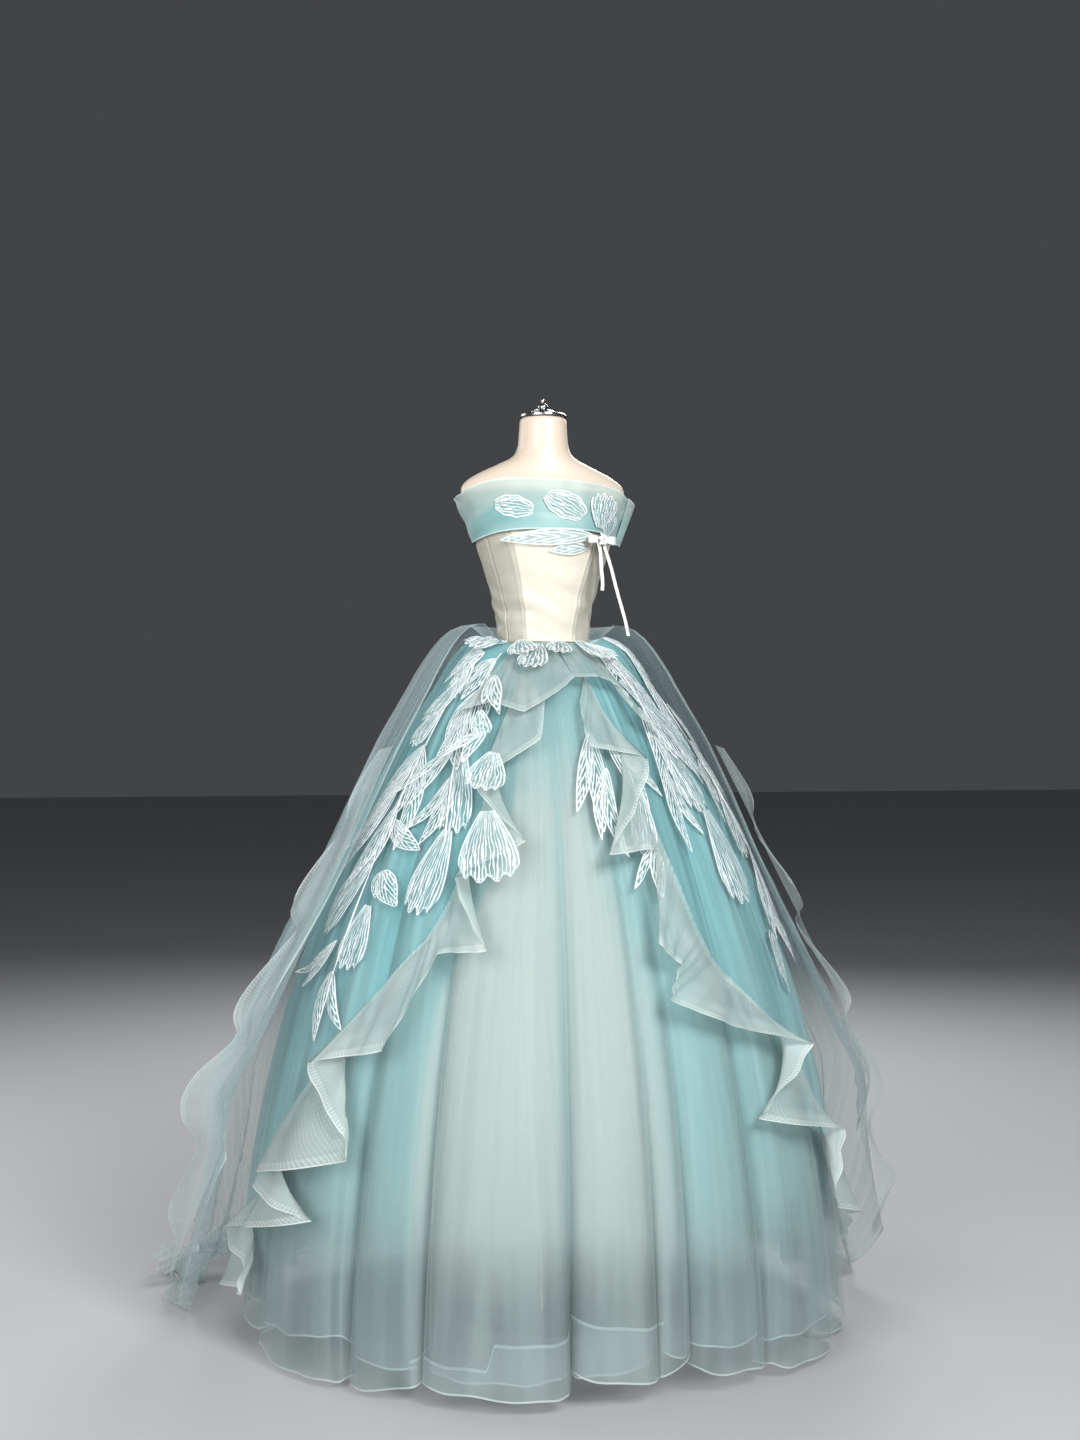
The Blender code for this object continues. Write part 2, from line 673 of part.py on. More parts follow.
def make_gore(gore, per_fold, ends_at, layer, fabric):
    angles = pull_in_seams(fold_columns(*gore["folds"], per_fold), 0.09)
    columns = len(angles) - 1
    rows = len(SHARED_ROWS) - 1

    def place(u, v, out):
        t = ends_at * SHARED_ROWS[round((1 - v) * rows)]
        return skirt_point(angles[round(u * columns)], t, layer * layer_gap(t) + out)

    cloth_wall(gore["name"], columns, rows, place, CLOTH, fabric)


def make_skirts():
    for gore in TULLE_GORES:
        make_gore(gore, 2, 1.0, 0, "tulle")
    for gore in LINING_GORES:
        make_gore(gore, 2, LINING_ENDS_AT, -1, "lining")


def edge_table(angle):
    return EDGE_LEFT if angle % 360 < 180 else EDGE_RIGHT


def overskirt_depth(angle):
    behind = abs((angle + 180) % 360 - 180)
    return table_value(edge_table(angle), "angle", behind, "t")


def make_overskirt():
    columns_at = {angle + turn for angle in fold_columns(0, len(FOLDS), 2) for turn in (-360, 0, 360)}
    edge_rows = {row["angle"] for row in EDGE_LEFT} | {-row["angle"] for row in EDGE_RIGHT}
    for angle in edge_rows:
        if all(abs(angle - other) > 0.9 for other in columns_at):
            columns_at.add(angle)
    columns_at = sorted(columns_at)
    half_seam = math.degrees(SEAM / 2 / 0.09)
    for panel in OVERSKIRT_PANELS:
        low, high = panel["angles"]
        between = [angle for angle in columns_at if low + 1 < angle < high - 1]
        angles = [low + half_seam, *between, high - half_seam]
        columns = len(angles) - 1
        rows = len(SHARED_ROWS) - 1

        def place(u, v, out, angles=angles, columns=columns, rows=rows):
            angle = angles[round(u * columns)]
            t = overskirt_depth(angle) * SHARED_ROWS[round((1 - v) * rows)]
            return skirt_point(angle, t, layer_gap(t) + out)

        cloth_wall(panel["name"], columns, rows, place, CLOTH, "overskirt")


def make_train():
    half_seam = 0.0006
    for panel in TRAIN_PANELS:

        def place(u, v, out, panel=panel):
            t = TRAIN_ROWS[round((1 - v) * (len(TRAIN_ROWS) - 1))]
            share = lerp(panel["span"][0] + half_seam, panel["span"][1] - half_seam, u)
            edge = train_edge(t)
            return train_point(lerp(edge, 360.0 - edge, share), t, out)

        cloth_wall(panel["name"], panel["columns"], 7, place, CLOTH, "train")


# ---- flounces ----------------------------------------------------------------------------------------------
def flounce_wall(name, side, rows, sewn_at, base, steps):
    """A flounce that runs through a table's rows, straight from each fold's edge to the next."""
    columns = steps * (len(rows) - 1)

    def place(u, v, out):
        at = u * columns / steps
        k = min(int(at + 1e-6), len(rows) - 2)
        share = at - k

        def between(pick):
            return lerp(pick(rows[k]), pick(rows[k + 1]), share)

        sewn_angle = between(lambda row: sewn_at(row)[0])
        sewn_t = between(lambda row: sewn_at(row)[1])
        angle = lerp(sewn_angle, between(lambda row: row["angle"]), v)
        t = lerp(sewn_t, between(lambda row: row["t"]), v)
        lift = base(sewn_t) + between(lambda row: row["lift"]) * v
        return skirt_point(side * angle, t, lift + out, BRIDGED)

    cloth_wall(name, columns, 3, place, CLOTH, "flounce")


def flounce_lift(t):
    return lerp(FLOUNCE_WAIST_LIFT, FLOUNCE_LIFT, min(1.0, t / 0.12))


def make_flounces():
    for name, side, rows, edge in (
        ("flounce_right", -1, FLOUNCE_RIGHT, EDGE_RIGHT),
        ("flounce_left", 1, FLOUNCE_LEFT, EDGE_LEFT),
    ):

        def on_edge(row, edge=edge):
            return table_value(edge, "t", row["sewn"], "angle"), row["sewn"]

        flounce_wall(name, side, rows, on_edge, flounce_lift, FLOUNCE_STEPS)
    for name, side, rows in (("swag_right", -1, SWAG_RIGHT), ("swag_left", 1, SWAG_LEFT)):
        flounce_wall(name, side, rows, lambda row: row["sewn"], lambda t: SWAG_LIFT, 2)


def make_train_flounces():
    for flounce in TRAIN_FLOUNCES:

        def place(u, v, out, flounce=flounce):
            side = flounce["side"]
            t = lerp(flounce["start"], flounce["end"], u)
            phase = 2 * math.pi * flounce["flutes"] * u
            taper = min(1.0, 0.3 + 4 * u, 0.3 + 4 * (1 - u))
            reach = flounce["width"] * taper * v
            radius = plain_radius(t) + 0.08
            back = math.degrees(reach * (0.85 + 0.15 * math.cos(phase)) / radius)
            lift = 0.012 + 0.030 * v * taper * (1 + math.sin(phase)) / 2 + 0.006 * v
            fallen = min(t + reach * (0.30 + 0.25 * math.sin(phase)) / slant(t), 0.985)
            return train_point(side * (train_edge(t) + 1.0 + back), fallen, lift + out)

        cloth_wall(flounce["name"], 22, 2, place, CLOTH, "flounce")


# ---- lace ---------------------------------------------------------------------------------------------------
def leaf_width(along):
    return 0.22 + 0.78 * math.sin(math.pi * min(1.0, along) ** 0.85)


def tulip_width(along):
    return 0.35 + 0.65 * math.sin(math.pi * (0.08 + 0.72 * along))


def make_branches():
    for branch in BRANCHES:

        def place(u, v, out, branch=branch):
            angle = lerp(branch["start"][0], branch["end"][0], 1 - v)
            t = lerp(branch["start"][1], branch["end"][1], 1 - v)
            room = min(1.0, plain_radius(t) / 0.30)
            across = (2 * u - 1) * branch["half_width"] * leaf_width(1 - v) * room
            return skirt_spot(angle, t, across, 0.0, layer_gap(t) + branch["lift"] * min(1.0, 0.3 + t * 8) + out)

        cloth_wall(branch["name"], 4, 7, place, CLOTH, "lace")


def make_waist_tulips():
    for tulip in WAIST_TULIPS:

        def place(u, v, out, tulip=tulip):
            along = 1 - v
            lean = math.radians(tulip["lean"])
            x = (2 * u - 1) * tulip["half_width"] * tulip_width(along)
            y = along * tulip["length"]
            across, down = x * math.cos(lean) + y * math.sin(lean), y * math.cos(lean) - x * math.sin(lean)
            return skirt_spot(tulip["angle"], tulip["t"], across, down, 0.0225 + 0.55 * max(y, 0.0) + out)

        cloth_wall(tulip["name"], 2, 4, place, CLOTH, "lace")


def band_spot(angle, height, across, down, out):
    """A place on the band, stepped across it and down it in metres."""
    band_height = BAND_UPPER["z_front"] - BAND_LOWER["z_front"]
    return band_point(angle + math.degrees(across / 0.135), height - down / band_height, out)


def make_band_motifs():
    for motif in BAND_MOTIFS:

        def place(u, v, out, motif=motif):
            along = 1 - v
            width = leaf_width(along) if "leaf" in motif["name"] else tulip_width(along)
            heading = math.radians(motif["heading"])
            x = (2 * u - 1) * motif["half_width"] * width
            y = (along - 0.5) * motif["length"]
            across = x * math.cos(heading) - y * math.sin(heading)
            down = y * math.cos(heading) + x * math.sin(heading)
            return band_spot(motif["angle"], motif["height"], across, down, CLOTH + motif["lift"] + out)

        cloth_wall(motif["name"], 3, 4, place, CLOTH, "lace")


def make_bust_leaves():
    for leaf in BUST_LEAVES:

        def place(u, v, out, leaf=leaf):
            along = 1 - v
            across = -along * leaf["length"]
            angle = leaf["angle"] + math.degrees(across / 0.135)
            z = leaf["z"] - leaf["drop"] * along + (2 * u - 1) * leaf["half_width"] * leaf_width(along)
            stand_off = FORM_CLEARANCE + SATIN + leaf["lift"] - leaf["slope"] * (BAND_LOWER["z_front"] - z)
            return body_point(angle, z, stand_off + out)

        cloth_wall(leaf["name"], 3, 7, place, CLOTH, "lace")


# ---- bow ----------------------------------------------------------------------------------------------------
def bow_frame():
    """The knot's centre, and the directions across the body and out from it there."""
    a = math.radians(BOW_ANGLE)
    centre = body_point(BOW_ANGLE, BOW_Z, FORM_CLEARANCE + SATIN + BOW_OUT + KNOT_RADIUS)
    return centre, Vector((math.cos(a), math.sin(a), 0.0)), Vector((math.sin(a), -math.cos(a), 0.0))


def make_bow():
    centre, across, outward = bow_frame()
    bpy.ops.mesh.primitive_uv_sphere_add(segments=14, ring_count=8, radius=KNOT_RADIUS, location=centre)
    adopt("bow_knot", "ribbon")
    for loop in BOW_LOOPS:

        def place(u, v, out, loop=loop):
            turn = math.pi * (2 * u - 1) * 0.94
            reach = KNOT_RADIUS + 0.0015 + loop["length"] * (1 + math.cos(turn)) / 2
            swell = (loop["width"] * 0.55 + out) * math.sin(turn)
            height = (v - 0.5) * loop["width"]
            side = reach + out * math.cos(turn)
            return centre + across * (loop["direction"] * side) + outward * swell + Vector((0, 0, height))

        cloth_wall(loop["name"], 12, 2, place, CLOTH, "ribbon")
    for tail in BOW_TAILS:

        def place(u, v, out, tail=tail):
            along = 1 - v
            x = tail["start"] + tail["across"] * along + (u - 0.5) * RIBBON_WIDTH
            z = -KNOT_RADIUS - 0.002 - tail["drop"] * along
            curl = 0.004 * math.sin(math.pi * along) + out
            return centre + across * x + outward * curl + Vector((0, 0, z))

        cloth_wall(tail["name"], 1, 6, place, CLOTH, "ribbon")


clear_scene()
GOWN = make_collection()
MATERIALS = make_materials()
FOLD_STARTS = fold_starts()
make_form()
make_stand()
make_bodice()
make_band()
make_skirts()
make_overskirt()
make_train()
make_flounces()
make_train_flounces()
make_branches()
make_waist_tulips()
make_band_motifs()
make_bust_leaves()
make_bow()
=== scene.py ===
"""The looks of a strapless ball gown on its dress form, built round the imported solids, in metres.

Angles run round the body from the centre front towards the wearer's left. Skirt depth t runs from 0 at the
waist to 1 at the floor.
"""

import bisect
import math

import bmesh
import bpy
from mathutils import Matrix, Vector


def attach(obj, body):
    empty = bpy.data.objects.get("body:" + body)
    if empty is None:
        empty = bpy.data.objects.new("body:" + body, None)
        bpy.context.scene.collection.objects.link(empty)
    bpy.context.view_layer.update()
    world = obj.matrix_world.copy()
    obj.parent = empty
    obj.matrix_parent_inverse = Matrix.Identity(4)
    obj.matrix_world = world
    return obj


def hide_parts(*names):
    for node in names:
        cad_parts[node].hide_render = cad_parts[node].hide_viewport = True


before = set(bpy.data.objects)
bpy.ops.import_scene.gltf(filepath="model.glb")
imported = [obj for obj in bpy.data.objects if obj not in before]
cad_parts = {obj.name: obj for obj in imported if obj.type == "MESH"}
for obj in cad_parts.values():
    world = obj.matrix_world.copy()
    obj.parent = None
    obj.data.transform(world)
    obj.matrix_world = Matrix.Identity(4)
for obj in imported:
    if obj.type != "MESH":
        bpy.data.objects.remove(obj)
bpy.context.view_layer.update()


def table(columns, *rows):
    """Rows of values under named columns."""
    return [dict(zip(columns.split(), row)) for row in rows]


# ---- the gown's own measures ----
WAIST_Z = 1.455
HEM_Z = 0.003
WAIST_HALF_WIDTH = 0.1060
WAIST_DEPTH_RATIO = 0.86
HEM_RADIUS = 0.605
SKIRT_ROUNDNESS = 2.2
PUFF = 0.060
PUFF_DEPTH = 0.035
SKIRT_SPREAD = HEM_RADIUS - WAIST_HALF_WIDTH - PUFF
ROUND_BY = 0.30
LAYER_GAP = 0.013
WAIST_LAYER_GAP = 0.0035
TROUGH = 0.028
BRIDGED = 0.45
FLOUNCE_LIFT = 0.027
FLOUNCE_WAIST_LIFT = 0.019
SWAG_LIFT = 0.017
TRAIN_LIFT = 0.026
FORM_CLEARANCE = 0.003
SATIN = 0.0015
BODICE_BOTTOM_Z = 1.4575

FORM_SECTIONS = table(
    "z side front back",
    (1.13, 0.132, 0.088, 0.106), (1.24, 0.138, 0.092, 0.112), (1.34, 0.12, 0.084, 0.094),
    (1.41, 0.103, 0.076, 0.078), (1.46, 0.0972, 0.0735, 0.0715), (1.5, 0.0985, 0.078, 0.0725),
    (1.56, 0.1095, 0.092, 0.076), (1.61, 0.1245, 0.108, 0.081), (1.66, 0.14, 0.121, 0.086),
    (1.7, 0.148, 0.115, 0.089), (1.74, 0.166, 0.096, 0.086), (1.778, 0.18, 0.078, 0.078),
    (1.8, 0.174, 0.068, 0.071), (1.821, 0.144, 0.061, 0.065), (1.84, 0.104, 0.057, 0.059),
    (1.858, 0.069, 0.054, 0.055), (1.88, 0.056, 0.052, 0.052), (1.905, 0.053, 0.051, 0.051),
    (1.945, 0.05, 0.049, 0.049),
)
BODICE_PANELS = table(
    "node bust waist columns",
    ("bodice_centre_front", (-40, 40), (-31, 31), 72), ("bodice_side_front_left", (40, 66), (31, 58), 32),
    ("bodice_side_front_right", (-66, -40), (-58, -31), 32), ("bodice_side_left", (66, 112), (58, 112), 40),
    ("bodice_side_right", (-112, -66), (-112, -58), 40), ("bodice_back_left", (112, 180), (112, 180), 48),
    ("bodice_back_right", (-180, -112), (-180, -112), 48),
)
BAND_LOWER = dict(side=0.1530, front=0.1320, back=0.1000, z_front=1.692, z_side=1.672, z_back=1.668)
BAND_UPPER = dict(side=0.1930, front=0.1180, back=0.1130, z_front=1.800, z_side=1.760, z_back=1.750)
BAND_PANELS = table(
    "node angles columns",
    ("bust_band_front", (-92, 92), 150), ("bust_band_back_left", (92, 180), 60),
    ("bust_band_back_right", (-180, -92), 60),
)
FIRST_FOLD = -102.0
FOLDS = table(
    "width crest",
    (22, 0.066), (30, 0.074), (16, 0.054), (27, 0.076), (16, 0.06), (7, 0.036), (17, 0.058), (27, 0.074),
    (20, 0.066), (18, 0.06), (24, 0.07), (16, 0.054), (22, 0.068), (19, 0.06), (25, 0.072), (15, 0.052),
    (21, 0.064), (18, 0.058),
)
EDGE_RIGHT = table(
    "t angle",
    (0.0, 13), (0.05, 23), (0.13, 28), (0.28, 31), (0.4, 38), (0.48, 50), (0.58, 60), (0.68, 70), (0.8, 83),
    (0.88, 95), (0.92, 112), (0.945, 180),
)
EDGE_LEFT = table(
    "t angle",
    (0.0, 11), (0.05, 13.5), (0.13, 17), (0.29, 22), (0.43, 27), (0.5, 39), (0.58, 47), (0.66, 56),
    (0.74, 66), (0.82, 80), (0.89, 94), (0.92, 112), (0.945, 180),
)
FLOUNCE_RIGHT = table(
    "sewn angle t lift",
    (0.045, 10, 0.085, 0.01), (0.065, 12, 0.14, 0.03), (0.11, 33, 0.2, 0.014), (0.19, 16, 0.275, 0.05),
    (0.27, 34, 0.326, 0.016), (0.31, 23, 0.415, 0.052), (0.37, 35, 0.425, 0.02), (0.41, 42, 0.548, 0.052),
    (0.48, 62, 0.58, 0.018), (0.56, 46, 0.69, 0.054), (0.64, 80, 0.752, 0.02), (0.7, 53, 0.775, 0.054),
    (0.78, 92, 0.85, 0.022), (0.83, 70, 0.9, 0.046), (0.875, 97, 0.935, 0.022),
)
FLOUNCE_LEFT = table(
    "sewn angle t lift",
    (0.045, 5, 0.088, 0.01), (0.067, 4, 0.149, 0.03), (0.11, 26, 0.168, 0.014), (0.17, 3, 0.293, 0.052),
    (0.23, 18, 0.29, 0.018), (0.295, 12, 0.409, 0.052), (0.4, 18, 0.44, 0.02), (0.44, 13, 0.482, 0.046),
    (0.48, 28, 0.525, 0.026), (0.52, 46, 0.56, 0.052), (0.58, 32, 0.65, 0.02), (0.65, 61, 0.697, 0.052),
    (0.72, 57, 0.8, 0.02), (0.8, 82, 0.86, 0.044), (0.87, 92, 0.93, 0.022),
)
SWAG_RIGHT = table(
    "sewn angle t lift",
    ((1, -0.001), -4, 0.052, 0.04), ((12, 0.0), 6, 0.076, 0.056), ((23, 0.004), 18, 0.102, 0.038),
    ((31, 0.01), 30, 0.088, 0.056), ((37, 0.018), 45, 0.1, 0.036),
)
SWAG_LEFT = table(
    "sewn angle t lift",
    ((1, -0.001), 4, 0.052, 0.04), ((11, 0.0), 15, 0.052, 0.056), ((20, 0.004), 27, 0.07, 0.038),
    ((26, 0.012), 24, 0.104, 0.058), ((31, 0.024), 36, 0.135, 0.036),
)
TRAIN_SIDE_OFF = table(
    "t off",
    (0.0, 0.004), (0.1, 0.026), (0.19, 0.024), (0.28, 0.024), (0.36, 0.036), (0.45, 0.06), (0.53, 0.088),
    (0.59, 0.116), (0.7, 0.1), (0.83, 0.118), (0.93, 0.155), (1.0, 0.21),
)
TRAIN_BACK_OFF = table(
    "t off",
    (0.0, 0.004), (0.1, 0.05), (0.3, 0.075), (0.6, 0.15), (0.8, 0.235), (0.93, 0.33), (1.0, 0.44),
)
TRAIN_EDGE = table(
    "t angle",
    (0.0, 62), (0.5, 74), (0.75, 84), (0.9, 98), (1.0, 122),
)
TRAIN_ON_FLOOR_FROM = 0.92

# Embroidered branches: each motif's kind, its base and tip as angle and depth, and half its width.
BRANCHES = {
    "branch_outer_right": [
        ("leaf", (-56, 0.002), (-62, 0.034), 0.013), ("tulip", (-60, 0.011), (-56, 0.085), 0.021),
        ("leaf", (-52, 0.03), (-63, 0.075), 0.012), ("tulip", (-53, 0.056), (-68, 0.117), 0.025),
        ("tulip", (-59, 0.102), (-67, 0.15), 0.026), ("leaf", (-60, 0.149), (-75, 0.271), 0.015),
        ("leaf", (-60, 0.149), (-56, 0.294), 0.016), ("leaf", (-61, 0.185), (-76, 0.298), 0.014),
        ("leaf", (-63, 0.213), (-78, 0.326), 0.014), ("leaf", (-60, 0.235), (-70, 0.35), 0.014),
        ("leaf", (-60, 0.254), (-47, 0.292), 0.015), ("tulip", (-62, 0.302), (-76, 0.412), 0.04),
        ("leaf", (-57, 0.322), (-50, 0.368), 0.019), ("tulip", (-58, 0.369), (-60, 0.457), 0.036),
        ("leaf", (-65, 0.419), (-79, 0.492), 0.011), ("leaf", (-64, 0.46), (-64, 0.554), 0.014),
        ("stem", (-56, 0.002), (-59, 0.15), 0.0016), ("stem", (-59, 0.15), (-61, 0.31), 0.0016),
        ("stem", (-61, 0.31), (-63, 0.47), 0.0014),
    ],
    "branch_middle_right": [
        ("leaf", (-43, 0.03), (-51, 0.085), 0.013), ("leaf", (-42, 0.05), (-36, 0.12), 0.013),
        ("leaf", (-43, 0.071), (-41, 0.183), 0.02), ("leaf", (-44, 0.1), (-51, 0.165), 0.014),
        ("leaf", (-44, 0.149), (-56, 0.232), 0.01), ("tulip", (-40, 0.162), (-38, 0.271), 0.036),
        ("leaf", (-42, 0.19), (-48, 0.285), 0.014), ("tulip", (-39, 0.264), (-44, 0.378), 0.04),
        ("stem", (-42, 0.02), (-43, 0.15), 0.0016), ("stem", (-43, 0.15), (-39, 0.28), 0.0016),
    ],
    "branch_inner_right": [
        ("leaf", (-34, 0.05), (-27, 0.1), 0.011), ("tulip", (-34, 0.1), (-31, 0.136), 0.02),
        ("leaf", (-30, 0.13), (-36, 0.172), 0.01), ("tulip", (-26, 0.158), (-29, 0.209), 0.038),
        ("tulip", (-26, 0.236), (-24, 0.33), 0.054),
    ],
    "branch_inner_left": [
        ("leaf", (7, 0.13), (5, 0.266), 0.016), ("leaf", (13, 0.148), (21, 0.238), 0.013),
        ("leaf", (10, 0.18), (11, 0.3), 0.012), ("tulip", (19, 0.205), (16, 0.298), 0.027),
        ("leaf", (19, 0.286), (18, 0.355), 0.011),
    ],
    "branch_middle_left": [
        ("leaf", (44, 0.0), (40, 0.07), 0.013), ("leaf", (36, 0.015), (42, 0.114), 0.013),
        ("tulip", (34, 0.056), (54, 0.15), 0.026), ("leaf", (35, 0.095), (29, 0.215), 0.014),
        ("leaf", (38, 0.09), (49, 0.19), 0.014), ("tulip", (40, 0.142), (43, 0.244), 0.036),
        ("leaf", (46, 0.13), (60, 0.225), 0.014), ("leaf", (34, 0.18), (32, 0.297), 0.013),
        ("tulip", (44, 0.241), (45, 0.373), 0.044), ("stem", (40, 0.004), (36, 0.12), 0.0016),
        ("stem", (36, 0.12), (43, 0.25), 0.0016),
    ],
    "branch_outer_left": [
        ("leaf", (60, 0.002), (70, 0.062), 0.012), ("leaf", (60, 0.03), (54, 0.105), 0.012),
        ("leaf", (62, 0.04), (60, 0.17), 0.013), ("leaf", (64, 0.09), (74, 0.175), 0.014),
        ("leaf", (64, 0.143), (76, 0.25), 0.015), ("leaf", (64, 0.17), (58, 0.262), 0.015),
        ("tulip", (68, 0.205), (62, 0.315), 0.032), ("leaf", (72, 0.23), (74, 0.33), 0.02),
        ("tulip", (68, 0.304), (63, 0.425), 0.036), ("leaf", (64, 0.4), (70, 0.47), 0.013),
        ("leaf", (61, 0.416), (61, 0.505), 0.017), ("stem", (58, 0.002), (64, 0.15), 0.0016),
        ("stem", (64, 0.15), (68, 0.31), 0.0016), ("stem", (68, 0.31), (62, 0.43), 0.0014),
    ],
}
BRANCH_LIFT = {"branch_inner_right": 0.060, "branch_inner_left": 0.012}
PLAIN_BRANCH_LIFT = 0.014
LEAF_FULLNESS = 1.35
TULIP_FULLNESS = 1.35
SECOND_LEAF_TURN = 7

WAIST_TULIPS = table(
    "node angle t length half_width lean",
    ("waist_tulip_1", -50, -0.003, 0.056, 0.02, -14), ("waist_tulip_2", -33, -0.004, 0.05, 0.024, 24),
    ("waist_tulip_3", -14, 0.003, 0.064, 0.024, -6), ("waist_tulip_4", 6, -0.004, 0.044, 0.021, -16),
    ("waist_tulip_5", 26, -0.003, 0.056, 0.026, 10),
)
BAND_MOTIFS = table(
    "node angle height length half_width heading lift",
    ("band_tulip_1", -30, 0.45, 0.068, 0.023, 104, 0.0022),
    ("band_tulip_2", 8, 0.48, 0.078, 0.028, 124, 0.0022),
    ("band_tulip_3", 50, 0.24, 0.058, 0.026, 176, 0.0022),
    ("band_leaf", 39, 0.46, 0.08, 0.032, 184, 0.0048),
)
BUST_LEAVES = table(
    "node angle z length half_width drop lift slope",
    ("bust_leaf_upper", 31, 1.68, 0.18, 0.0175, 0.01, 0.0165, 0.25),
    ("bust_leaf_lower", 30, 1.655, 0.084, 0.0125, 0.008, 0.0045, 0.0),
)
BUST_RADIUS = 0.135
BOW_ANGLE = 35.5
BOW_Z = 1.672
BOW_OUT = 0.0145
KNOT_RADIUS = 0.009
THREAD_PITCH = 0.0066
VEIN_PITCH = 0.030
RIBBON_WIDTH = 0.011
BOW_LOOPS = table(
    "node direction length width",
    ("bow_loop_left", 1, 0.036, 0.017), ("bow_loop_right", -1, 0.026, 0.015),
)
BOW_TAILS = table(
    "node across drop start",
    ("bow_tail_long", 0.084, 0.196, 0.0072), ("bow_tail_short", 0.012, 0.102, -0.0072),
)


# ---- shader nodes ----
class Value:
    """A number that varies over a surface. Arithmetic on it adds Math nodes."""

    def __init__(self, finish, socket):
        self.finish = finish
        self.socket = socket

    def math(self, operation, *others):
        numbers = {0: self, **{i + 1: other for i, other in enumerate(others)}}
        made = self.finish.node("ShaderNodeMath", {"operation": operation}, numbers)
        return Value(self.finish, made.outputs[0])

    def __add__(self, other):
        return self.math("ADD", other)

    __radd__ = __add__

    def __mul__(self, other):
        return self.math("MULTIPLY", other)

    __rmul__ = __mul__

    def __sub__(self, other):
        return self.math("SUBTRACT", other)

    def __rsub__(self, other):
        return (self * -1.0) + other

    def sine(self):
        return self.math("SINE")

    def away(self):
        return self.math("ABSOLUTE")

    def fraction(self):
        return self.math("FRACT")

    def over(self, other):
        return self.math("MAXIMUM", other)

    def clamped(self):
        return self.math("MAXIMUM", 0.0).math("MINIMUM", 1.0)

    def step(self, low, high):
        """0 below low and 1 above high, smoothly between."""
        sockets = {"Value": self, "From Min": low, "From Max": high}
        made = self.finish.node("ShaderNodeMapRange", {"interpolation_type": "SMOOTHSTEP"}, sockets)
        return Value(self.finish, made.outputs["Result"])


class Finish:
    """A material that is built up from nodes."""

    def __init__(self, name):
        self.material = bpy.data.materials.new(name)
        self.material.use_nodes = True
        self.tree = self.material.node_tree
        self.tree.nodes.clear()

    def node(self, kind, settings=None, sockets=None):
        made = self.tree.nodes.new(kind)
        for key, value in (settings or {}).items():
            setattr(made, key, value)
        for key, value in (sockets or {}).items():
            if isinstance(value, Value):
                value = value.socket
            if isinstance(value, bpy.types.NodeSocket):
                self.tree.links.new(value, made.inputs[key])
            elif value is not None:
                made.inputs[key].default_value = value
        return made

    def parts(self, vector):
        made = self.node("ShaderNodeSeparateXYZ", None, {0: vector})
        return [Value(self, output) for output in made.outputs]

    def object_xyz(self):
        return self.parts(self.node("ShaderNodeTexCoord").outputs["Object"])

    def cloth_uv(self):
        """Distances across and down the cloth, in metres, or shares of a motif's width and length."""
        return self.parts(self.node("ShaderNodeUVMap", {"uv_map": "cloth"}).outputs[0])[:2]

    def tint(self):
        """How pale the cloth is, from 0 to 1, with painted shade in fold troughs and pleat hollows, and how
        far it lies above its hem, in metres.
        """
        return self.parts(self.node("ShaderNodeUVMap", {"uv_map": "tint"}).outputs[0])[:2]

    def noise(self, scale, detail=2.0, stretch=(1.0, 1.0, 1.0), uv=False):
        if uv:
            where = self.node("ShaderNodeUVMap", {"uv_map": "cloth"}).outputs[0]
        else:
            where = self.node("ShaderNodeTexCoord").outputs["Object"]
        turned = self.node("ShaderNodeMapping", None, {"Vector": where, "Scale": stretch})
        sockets = {"Vector": turned.outputs[0], "Scale": scale, "Detail": detail}
        return Value(self, self.node("ShaderNodeTexNoise", None, sockets).outputs[0])

    def blend(self, share, first, second):
        """A colour between two others."""
        sockets = {0: share, 6: colour4(first), 7: colour4(second)}
        return self.node("ShaderNodeMix", {"data_type": "RGBA"}, sockets).outputs[2]

    def bump(self, height, distance, strength=1.0):
        sockets = {"Strength": strength, "Distance": distance, "Height": height}
        return self.node("ShaderNodeBump", None, sockets).outputs[0]

    def surface(self, colour, roughness, normal=None, density=None, glow=0.0, glow_colour=None, **constants):
        """Cloth's shader: its face, the share of light that it lets through, and how dense its mesh is."""
        sockets = {"Base Color": colour4(colour), "Roughness": roughness, "Normal": normal}
        sockets.update({key.replace("_", " "): value for key, value in constants.items()})
        out = self.node("ShaderNodeBsdfPrincipled", None, sockets).outputs[0]
        if glow:
            through = self.node("ShaderNodeBsdfTranslucent", None, {"Color": colour4(glow_colour)})
            out = self.node("ShaderNodeMixShader", None, {0: glow, 1: out, 2: through.outputs[0]}).outputs[0]
        if density is not None:
            clear = self.node("ShaderNodeBsdfTransparent").outputs[0]
            out = self.node("ShaderNodeMixShader", None, {0: density, 1: clear, 2: out}).outputs[0]
        self.node("ShaderNodeOutputMaterial", None, {"Surface": out})
        return self.material


def colour4(colour):
    if isinstance(colour, tuple) and len(colour) == 3:
        return (*colour, 1.0)
    return colour


# ---- finishes ----
def satin_finish(name, shadow, light):
    f = Finish(name)
    across, down = f.cloth_uv()
    slubs = f.noise(40.0, 2.0, (1.0, 5.0, 1.0), uv=True)
    threads = (down * 2600.0).sine() * 0.5 + (across * 2200.0).sine() * 0.25
    colour = f.blend(slubs, shadow, light)
    normal = f.bump(threads * 0.3 + slubs, 0.0006, 0.25)
    return f.surface(colour, 0.30 + slubs * 0.12, normal, Sheen_Weight=0.3, Sheen_Roughness=0.4)


